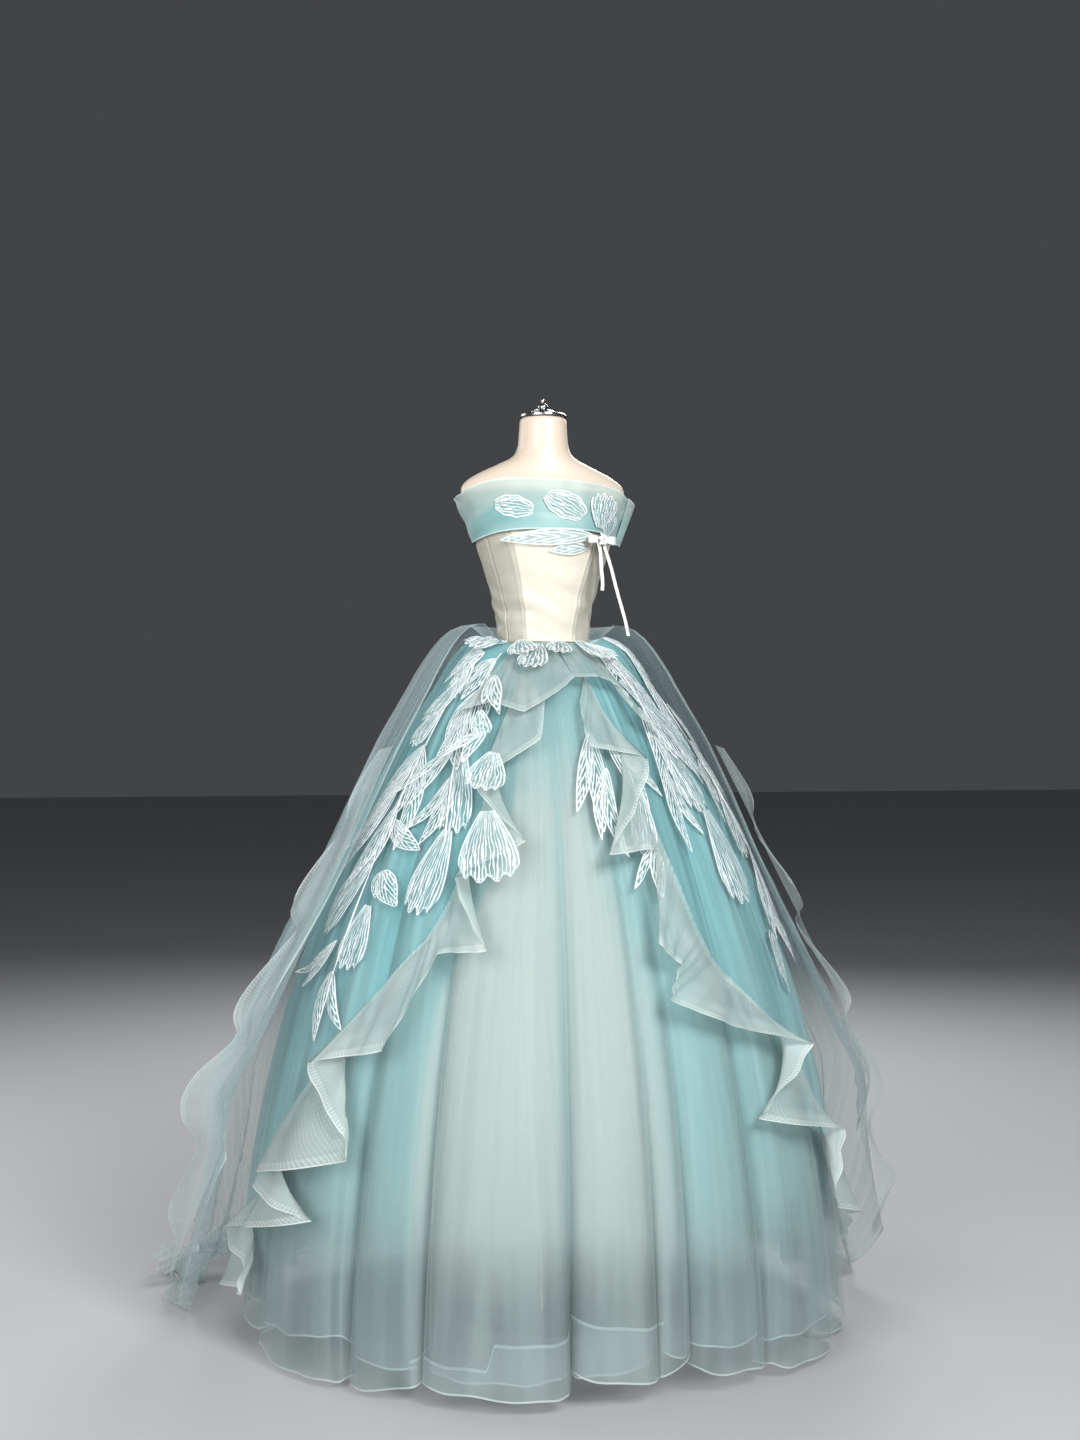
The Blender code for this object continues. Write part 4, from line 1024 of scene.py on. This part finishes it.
def make_train():
    for node, start, end in (
        ("train_side_left", 0.0, 0.30), ("train_back", 0.30, 0.70), ("train_side_right", 0.70, 1.0)
    ):

        def depth(u, v, start=start, end=end):
            t = v ** 1.15
            edge = train_edge(t)
            return lerp(edge, 360.0 - edge, lerp(start, end, u)), t

        def place(u, v):
            angle, t = depth(u, v)
            return veil_point(angle, t, train_ripple(angle, t) + 0.0008)

        def tint(u, v):
            angle, t = depth(u, v)
            edge = train_edge(t)
            across = math.radians(min(angle - edge, 360.0 - edge - angle)) * (plain_radius(t) + 0.06)
            return 0.5 + 0.5 * math.sin(angle * 0.21 + 3 * t), min(across, (1 - t) * 1.6)

        columns = round(300 * (end - start))
        sheet_piece("veil_", node, columns, 90, place, (1.4, 1.9), "train", "train", "train", tint)


# ---- flounces ----
def flounce_lift(t):
    return lerp(FLOUNCE_WAIST_LIFT, FLOUNCE_LIFT, min(1.0, t / 0.12))


def make_flounce(node, side, rows, sewn_at, base, per_row):
    keys = list(range(len(rows)))
    columns = {
        "sewn_angle": [sewn_at(row)[0] for row in rows],
        "sewn_t": [sewn_at(row)[1] for row in rows],
        "angle": [row["angle"] for row in rows],
        "t": [row["t"] for row in rows],
        "lift": [row["lift"] for row in rows],
    }

    def place(u, v):
        at = u * (len(rows) - 1)
        here = {key: creased_through(keys, values, at, 0.8) for key, values in columns.items()}
        across = v + 0.12 * math.sin(math.pi * v)
        angle = lerp(here["sewn_angle"], here["angle"], across)
        t = lerp(here["sewn_t"], here["t"], across)
        ripple = 0.0040 * v * math.sin(4.7 * math.pi * at + 1.0)
        ripple += 0.0018 * math.sin(17 * math.pi * at) * (1 - v)
        lift = base(here["sewn_t"]) + max(0.006, here["lift"]) * v ** 1.25 + ripple
        return skirt_point(side * angle, t, lift, BRIDGED)

    folds = len(rows) - 1
    size = (0.16 * folds, 1.0)
    sheet_piece("organza_", node, per_row * folds, 18, place, size, "flounce", "flounce", "flounce")


def make_flounces():
    for node, side, rows, edge in (
        ("flounce_right", -1, FLOUNCE_RIGHT, EDGE_RIGHT),
        ("flounce_left", 1, FLOUNCE_LEFT, EDGE_LEFT),
    ):

        def on_edge(row, edge=edge):
            return table_value(edge, "t", row["sewn"], "angle"), row["sewn"]

        make_flounce(node, side, rows, on_edge, flounce_lift, 20)
    for node, side, rows in (("swag_right", -1, SWAG_RIGHT), ("swag_left", 1, SWAG_LEFT)):
        make_flounce(node, side, rows, lambda row: row["sewn"], lambda t: SWAG_LIFT, 24)


TIED_END = dict(start=(-0.640, 0.455, 0.085), end=(-0.800, 0.490, 0.034), tie_at=0.5, tie_radius=0.012)


def tied_end_point(u, v, out=0.0):
    """The train's front corner, gathered into a neck and tied, with its raw end spread beyond the tie."""
    start, end = Vector(TIED_END["start"]), Vector(TIED_END["end"])
    away = (v - TIED_END["tie_at"]) / (0.5 if v > TIED_END["tie_at"] else 0.42)
    radius = TIED_END["tie_radius"] + (0.034 if away > 0 else 0.048) * abs(away) ** 1.3
    turn = 2 * math.pi * u
    radius *= 1 + 0.16 * min(1.0, abs(away) * 2) * math.sin(9 * turn + 2 * v)
    along = (end - start).normalized()
    aside = along.cross(Vector((0, 0, 1))).normalized()
    place = start.lerp(end, v + 0.05 * max(0.0, away) * math.sin(5 * turn))
    place += (aside * math.cos(turn) * 1.25 + along.cross(aside) * math.sin(turn) * 0.62) * (radius + out)
    place.z = max(place.z, 0.004)
    return place


def tie_point(u, v):
    """The ribbon round the tied end's neck."""
    return tied_end_point(u, TIED_END["tie_at"] + 0.09 * (v - 0.5), 0.0022)


def make_train_flounces():
    for node, side in (("train_flounce_left", 1), ("train_flounce_right", -1)):

        def place(u, v, side=side):
            t = lerp(0.14, 0.86, u)
            phase = 2 * math.pi * 5.0 * u
            taper = min(1.0, 0.3 + 4 * u, 0.3 + 4 * (1 - u))
            reach = 0.10 * taper * v
            radius = plain_radius(t) + 0.08
            back = math.degrees(reach * (0.85 + 0.15 * math.cos(phase)) / radius)
            wing = (0.012 if side < 0 else 0.045) * bell(t, 0.60 + 0.1 * (side + 1), 0.06) * v
            lift = 0.012 + 0.030 * v * taper * (1 + math.sin(phase)) / 2 + 0.006 * v + wing
            fallen = min(t + reach * (0.30 + 0.25 * math.sin(phase)) / 1.56, 0.985)
            return train_point(side * (train_edge(t) + 1.0 + back), fallen, lift)

        bm = bmesh.new()
        add_cloth(bm, 130, 12, place, (1.3, 1.0))
        if side < 0:
            add_cloth(bm, 60, 30, tied_end_point, (0.35, 0.98))
            add_cloth(bm, 40, 3, tie_point, (1, 1), material=1)
        piece = finish_piece("organza_" + node, bm, "train_flounce ribbon", "flounce", [node])
        declare_sheet(piece, "train_flounce")


# ---- lace ----
def leaf_width(along):
    return 0.06 + 0.94 * math.sin(math.pi * min(1.0, along) ** 0.80) ** 0.85


def tulip_width(along):
    return 0.26 + 0.74 * math.sin(math.pi * (0.60 * along) ** 0.9) ** 1.1


def bud_width(along):
    return 0.12 + 0.88 * math.sin(math.pi * (0.04 + 0.92 * along)) ** 0.6 * (1 + 0.05 * math.sin(19 * along))


def stem_width(along):
    return 1.0


WIDTHS = {"leaf": leaf_width, "tulip": tulip_width, "bud": bud_width, "stem": stem_width}


def petal_reach(kind, u, along):
    """How far along a motif a point lies. A tulip's open end has pointed scallops."""
    if kind != "tulip":
        return along
    scallop = abs(math.sin(4 * math.pi * u + 0.5 * math.sin(7 * u)))
    return along * (1 - (0.13 * (1 - scallop) + 0.12 * (2 * u - 1) ** 2) * along ** 3)


def add_motif(bm, kind, half_width, length, spot, bend=0.0):
    """Adds a motif. spot(x, along, dome) gives the surface at x metres aside and a share of its length."""

    def place(u, v):
        along = petal_reach(kind, u, v)
        x = (2 * u - 1) * half_width * WIDTHS[kind](v) + bend * math.sin(math.pi * v)
        return spot(x, along, 0.0030 * (1 - (2 * u - 1) ** 2) * math.sin(math.pi * min(1, v * 1.05)))

    def tint(u, v):
        side = half_width * WIDTHS[kind](v) * (1 - abs(2 * u - 1))
        tip = (1 - v) * length if kind == "tulip" else 1.0
        return min(side, tip), (v * length - 4.5 * (half_width * WIDTHS[kind](v) - side)) / VEIN_PITCH

    columns, rows = (2, 24) if kind == "stem" else (16, 24)
    threads = max(3, round(2 * half_width / THREAD_PITCH))
    add_cloth(bm, columns, rows, place, (threads, 1.0), tint, material=int(kind == "leaf"))


def add_skirt_motif(bm, motif, lift, order):
    kind, base, tip, half_width = motif
    middle = (base[1] + tip[1]) / 2
    r, slope = plain_radius(middle) + 0.03, slant(middle)
    dx, dy = math.radians(tip[0] - base[0]) * r, (tip[1] - base[1]) * slope
    length = math.hypot(dx, dy)
    ux, uy = dx / length, dy / length

    def spot(x, along, dome):
        across, down = dx * along + uy * x, dy * along - ux * x
        t = max(base[1] + down / slope, -0.002)
        out = layer_gap(max(t, 0)) + lift * min(1.0, 0.3 + max(t, 0) * 8) + dome + 0.0014 * (order % 5)
        return skirt_point(base[0] + math.degrees(across / r), t, out, BRIDGED)

    width = half_width * (LEAF_FULLNESS if kind == "leaf" else 1.0)
    add_motif(bm, kind, width, length, spot, 0.09 * length * math.sin(order * 2.4) if kind == "leaf" else 0.0)


def make_branches():
    for node, motifs in BRANCHES.items():
        bm = bmesh.new()
        lift = BRANCH_LIFT.get(node, PLAIN_BRANCH_LIFT)
        for order, motif in enumerate(motifs):
            add_skirt_motif(bm, motif, lift, order)
            kind, base, tip, half_width = motif
            if kind == "leaf":
                turn = SECOND_LEAF_TURN if order % 2 else -SECOND_LEAF_TURN
                second = (kind, base, (tip[0] + turn, lerp(base[1], tip[1], 0.8)), half_width * 0.75)
                add_skirt_motif(bm, second, lift - 0.002, order)
        piece = finish_piece("lace_" + node, bm, "petal leaf", "lace", [node])
        declare_sheet(piece, "branch")


def motif_piece(prefix, row, kind, finish, spot, cut):
    bm = bmesh.new()
    add_motif(bm, kind, row["half_width"], row["length"], spot)
    declare_sheet(finish_piece(prefix + row["node"], bm, finish, "lace", [row["node"]]), cut)


def make_waist_tulips():
    for tulip in WAIST_TULIPS:

        def spot(x, along, dome, tulip=tulip):
            lean = math.radians(tulip["lean"])
            y = along * tulip["length"] * TULIP_FULLNESS
            across, down = x * math.cos(lean) + y * math.sin(lean), y * math.cos(lean) - x * math.sin(lean)
            return skirt_spot(tulip["angle"], tulip["t"], across, down, 0.0232 + 0.55 * max(y, 0.0) + dome)

        motif_piece("lace_", tulip, "tulip", "petal", spot, "waist_tulip")


def band_spot(angle, height, across, down, out):
    band_height = BAND_UPPER["z_front"] - BAND_LOWER["z_front"]
    return band_point(angle + math.degrees(across / BUST_RADIUS), height - down / band_height, out)


def make_band_motifs():
    for motif in BAND_MOTIFS:

        def spot(x, along, dome, motif=motif):
            heading = math.radians(motif["heading"])
            y = (along - 0.5) * motif["length"]
            across = x * math.cos(heading) - y * math.sin(heading)
            down = y * math.cos(heading) + x * math.sin(heading)
            out = 0.0012 + motif["lift"] + dome * 0.5
            return band_spot(motif["angle"], motif["height"], across, down, out)

        kind = "tulip" if motif["heading"] > 150 else "bud"
        motif_piece("lace_", motif, kind, "petal", spot, "band_motif")


def make_bust_leaves():
    for leaf in BUST_LEAVES:

        def spot(x, along, dome, leaf=leaf):
            across = -along * leaf["length"]
            angle = leaf["angle"] + math.degrees(across / BUST_RADIUS)
            z = leaf["z"] - leaf["drop"] * along + x
            stand_off = FORM_CLEARANCE + SATIN + leaf["lift"] - leaf["slope"] * (BAND_LOWER["z_front"] - z)
            return body_point(angle, z, stand_off + 0.001 + dome * 0.6)

        motif_piece("organza_", leaf, "leaf", "sheer_leaf", spot, "bust_leaf")


# ---- bow ----
def bow_frame():
    a = math.radians(BOW_ANGLE)
    centre = body_point(BOW_ANGLE, BOW_Z, FORM_CLEARANCE + SATIN + BOW_OUT + KNOT_RADIUS)
    return centre, Vector((math.cos(a), math.sin(a), 0.0)), Vector((math.sin(a), -math.cos(a), 0.0))


def make_bow():
    centre, across, outward = bow_frame()
    bm = bmesh.new()
    knot = bmesh.ops.create_uvsphere(bm, u_segments=40, v_segments=24, radius=KNOT_RADIUS)["verts"]
    for vert in knot:
        turn = math.atan2(vert.co.y, vert.co.x)
        vert.co *= 0.90 + 0.10 * math.sin(5 * turn + 0.8)
        vert.co.z *= 0.95
        vert.co += centre
    smooth_faces(bm)
    bm.loops.layers.uv.new("cloth")
    for k in range(6):
        turn = k * math.pi / 3 + 0.3

        def petal(u, v, turn=turn):
            x = (2 * u - 1) * 0.0060 * math.sin(math.pi * (0.12 + 0.80 * v))
            y = 0.002 + 0.013 * v * (1 - 0.15 * (2 * u - 1) ** 2)
            aside, up = x * math.cos(turn) - y * math.sin(turn), x * math.sin(turn) + y * math.cos(turn)
            cup = KNOT_RADIUS * 0.9 + 0.005 * math.sin(math.pi * v) - 0.004 * v + 0.002 * (k % 2)
            return centre + across * aside + Vector((0, 0, up)) + outward * cup

        add_cloth(bm, 8, 8, petal, (0.02, 0.02))
    finish_piece("ribbon_bow_knot", bm, "ribbon", "ribbon", ["bow_knot"])
    for loop in BOW_LOOPS:

        def place(u, v, loop=loop):
            turn = math.pi * (2 * u - 1) * 0.94
            reach = KNOT_RADIUS + 0.0015 + loop["length"] * (1 + math.cos(turn)) / 2
            swell = loop["width"] * 0.55 * math.sin(turn)
            pinch = 0.55 + 0.45 * math.sin(min(1.0, (reach - KNOT_RADIUS) / 0.02) * math.pi / 2)
            height = (0.5 - v) * loop["width"] * pinch
            return centre + across * (loop["direction"] * reach) + outward * swell + Vector((0, 0, height))

        sheet_piece("ribbon_", loop["node"], 60, 10, place, (0.09, 0.012), "ribbon", "ribbon", "bow_loop",
                    cut_width=loop["width"])
    for tail in BOW_TAILS:

        def place(u, v, tail=tail):
            x = tail["start"] + tail["across"] * v + (u - 0.5) * RIBBON_WIDTH
            z = -KNOT_RADIUS + 0.004 - tail["drop"] * v
            curl = 0.004 * math.sin(math.pi * v) + 0.0012 * math.sin(9 * v)
            return centre + across * x + outward * curl + Vector((0, 0, z))

        size = (RIBBON_WIDTH, 0.2)
        sheet_piece("ribbon_", tail["node"], 6, 60, place, size, "ribbon", "ribbon", "bow_tail")


# ---- hard parts, studio and camera ----
CAP_SHARP_EDGE = 35
CAP_PROFILE = [
    (0.0002, 0.044), (0.002, 0.0432), (0.0034, 0.041), (0.0042, 0.0375), (0.004, 0.0345), (0.0034, 0.032),
    (0.0062, 0.0305), (0.01, 0.0275), (0.0115, 0.024), (0.0108, 0.0205), (0.0095, 0.0185), (0.017, 0.0172),
    (0.0235, 0.0148), (0.0262, 0.0125), (0.03, 0.0104), (0.04, 0.0093), (0.047, 0.0078), (0.05, 0.005),
    (0.0505, 0.0012), (0.05, 0.0),
]


def make_form():
    """The dress form's shell, drawn from a ball whose poles are its flat ends, and the cap on its neck."""
    bm = bmesh.new()
    bmesh.ops.create_uvsphere(bm, u_segments=120, v_segments=110, radius=1.0)
    low, high = FORM_SECTIONS[0]["z"], FORM_SECTIONS[-1]["z"]
    for vert in bm.verts:
        share = math.acos(max(-1.0, min(1.0, vert.co.z))) / math.pi
        angle = math.degrees(math.atan2(vert.co.x, -vert.co.y))
        place = body_point(angle, lerp(high, low, min(1.0, max(0.0, (share - 0.03) / 0.94))), 0.0)
        inward = min(1.0, share / 0.03, (1 - share) / 0.03)
        vert.co = (place.x * inward, place.y * inward, place.z)
    smooth_faces(bm)
    finish_piece("form_shell", bm, "shell", "form_shell", ["form_torso"])

    bm = bmesh.new()
    foot = FORM_SECTIONS[-1]["z"] + 0.0003
    verts = [bm.verts.new((radius, 0.0, foot + height)) for radius, height in CAP_PROFILE]
    edges = [bm.edges.new(pair) for pair in zip(verts, verts[1:])]
    bmesh.ops.spin(bm, geom=verts + edges, cent=(0, 0, 0), axis=(0, 0, 1), angle=2 * math.pi, steps=96,
                   use_merge=True)
    bmesh.ops.remove_doubles(bm, verts=bm.verts[:], dist=0.00001)
    smooth_faces(bm)
    cap = finish_piece("chrome_neck_cap", bm, "chrome", "chrome", ["form_neck_cap"])
    cap.data.set_sharp_from_angle(angle=math.radians(CAP_SHARP_EDGE))
    for node in ("stand_pole", "stand_base"):
        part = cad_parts[node]
        part.data.materials.clear()
        part.data.materials.append(FINISHES["steel"])


FLOOR_COLOUR = (0.47, 0.48, 0.49)
BACKDROP_COLOUR = (0.055, 0.057, 0.06, 1.0)
LIGHTS = table(
    "name place watts size",
    ("key_light", (1.2, -4.6, 3.6), 290.0, 1.8), ("fill_light", (-3.0, -3.8, 2.2), 160.0, 2.6),
    ("rim_light", (1.5, 3.8, 3.6), 130.0, 2.0), ("rim_light_right", (-3.2, 2.6, 2.8), 60.0, 2.0),
)
LIGHTS_AIM_AT = Vector((0, 0, 0.9))


def make_studio():
    bm = bmesh.new()
    bmesh.ops.create_grid(bm, x_segments=1, y_segments=1, size=30.0)
    mesh = bpy.data.meshes.new("studio_floor")
    bm.to_mesh(mesh)
    bm.free()
    mesh.materials.append(Finish("studio_floor").surface(FLOOR_COLOUR, 0.85))
    add_to_scene("studio_floor", mesh)
    world = bpy.data.worlds.new("studio")
    bpy.context.scene.world = world
    world.use_nodes = True
    backdrop = world.node_tree.nodes["Background"].inputs
    backdrop["Color"].default_value = BACKDROP_COLOUR
    backdrop["Strength"].default_value = 1.0
    for row in LIGHTS:
        lamp = bpy.data.lights.new(row["name"], "AREA")
        lamp.energy = row["watts"]
        lamp.size = row["size"]
        light = add_to_scene(row["name"], lamp)
        light.location = row["place"]
        light.rotation_euler = (LIGHTS_AIM_AT - Vector(row["place"])).to_track_quat("-Z", "Y").to_euler()


def make_camera():
    azimuth, height, distance, aside = math.radians(-12.0), 1.29, 4.34, -0.0065
    back = Vector((math.sin(azimuth), -math.cos(azimuth), 0.0))
    right = Vector((math.cos(azimuth), math.sin(azimuth), 0.0))
    lens = bpy.data.cameras.new("camera")
    lens.lens = 50.0
    lens.sensor_width = 36.0
    camera = add_to_scene("camera", lens)
    camera.location = Vector((0, 0, height)) + back * distance + right * aside
    camera.rotation_euler = back.to_track_quat("Z", "Y").to_euler()
    bpy.context.scene.camera = camera


make_camera()
make_studio()
FINISHES = make_finishes()
make_form()
make_bodice()
make_band()
for skirt_layer in SKIRT_LAYERS:
    make_skirt_layer(skirt_layer)
make_overskirt()
make_train()
make_flounces()
make_train_flounces()
make_branches()
make_waist_tulips()
make_band_motifs()
make_bust_leaves()
make_bow()
cycles = bpy.context.scene.cycles
cycles.transparent_max_bounces = 18
cycles.max_bounces = 1
cycles.diffuse_bounces = 1
cycles.glossy_bounces = 1
cycles.transmission_bounces = 1
bpy.context.scene.view_settings.view_transform = "Standard"
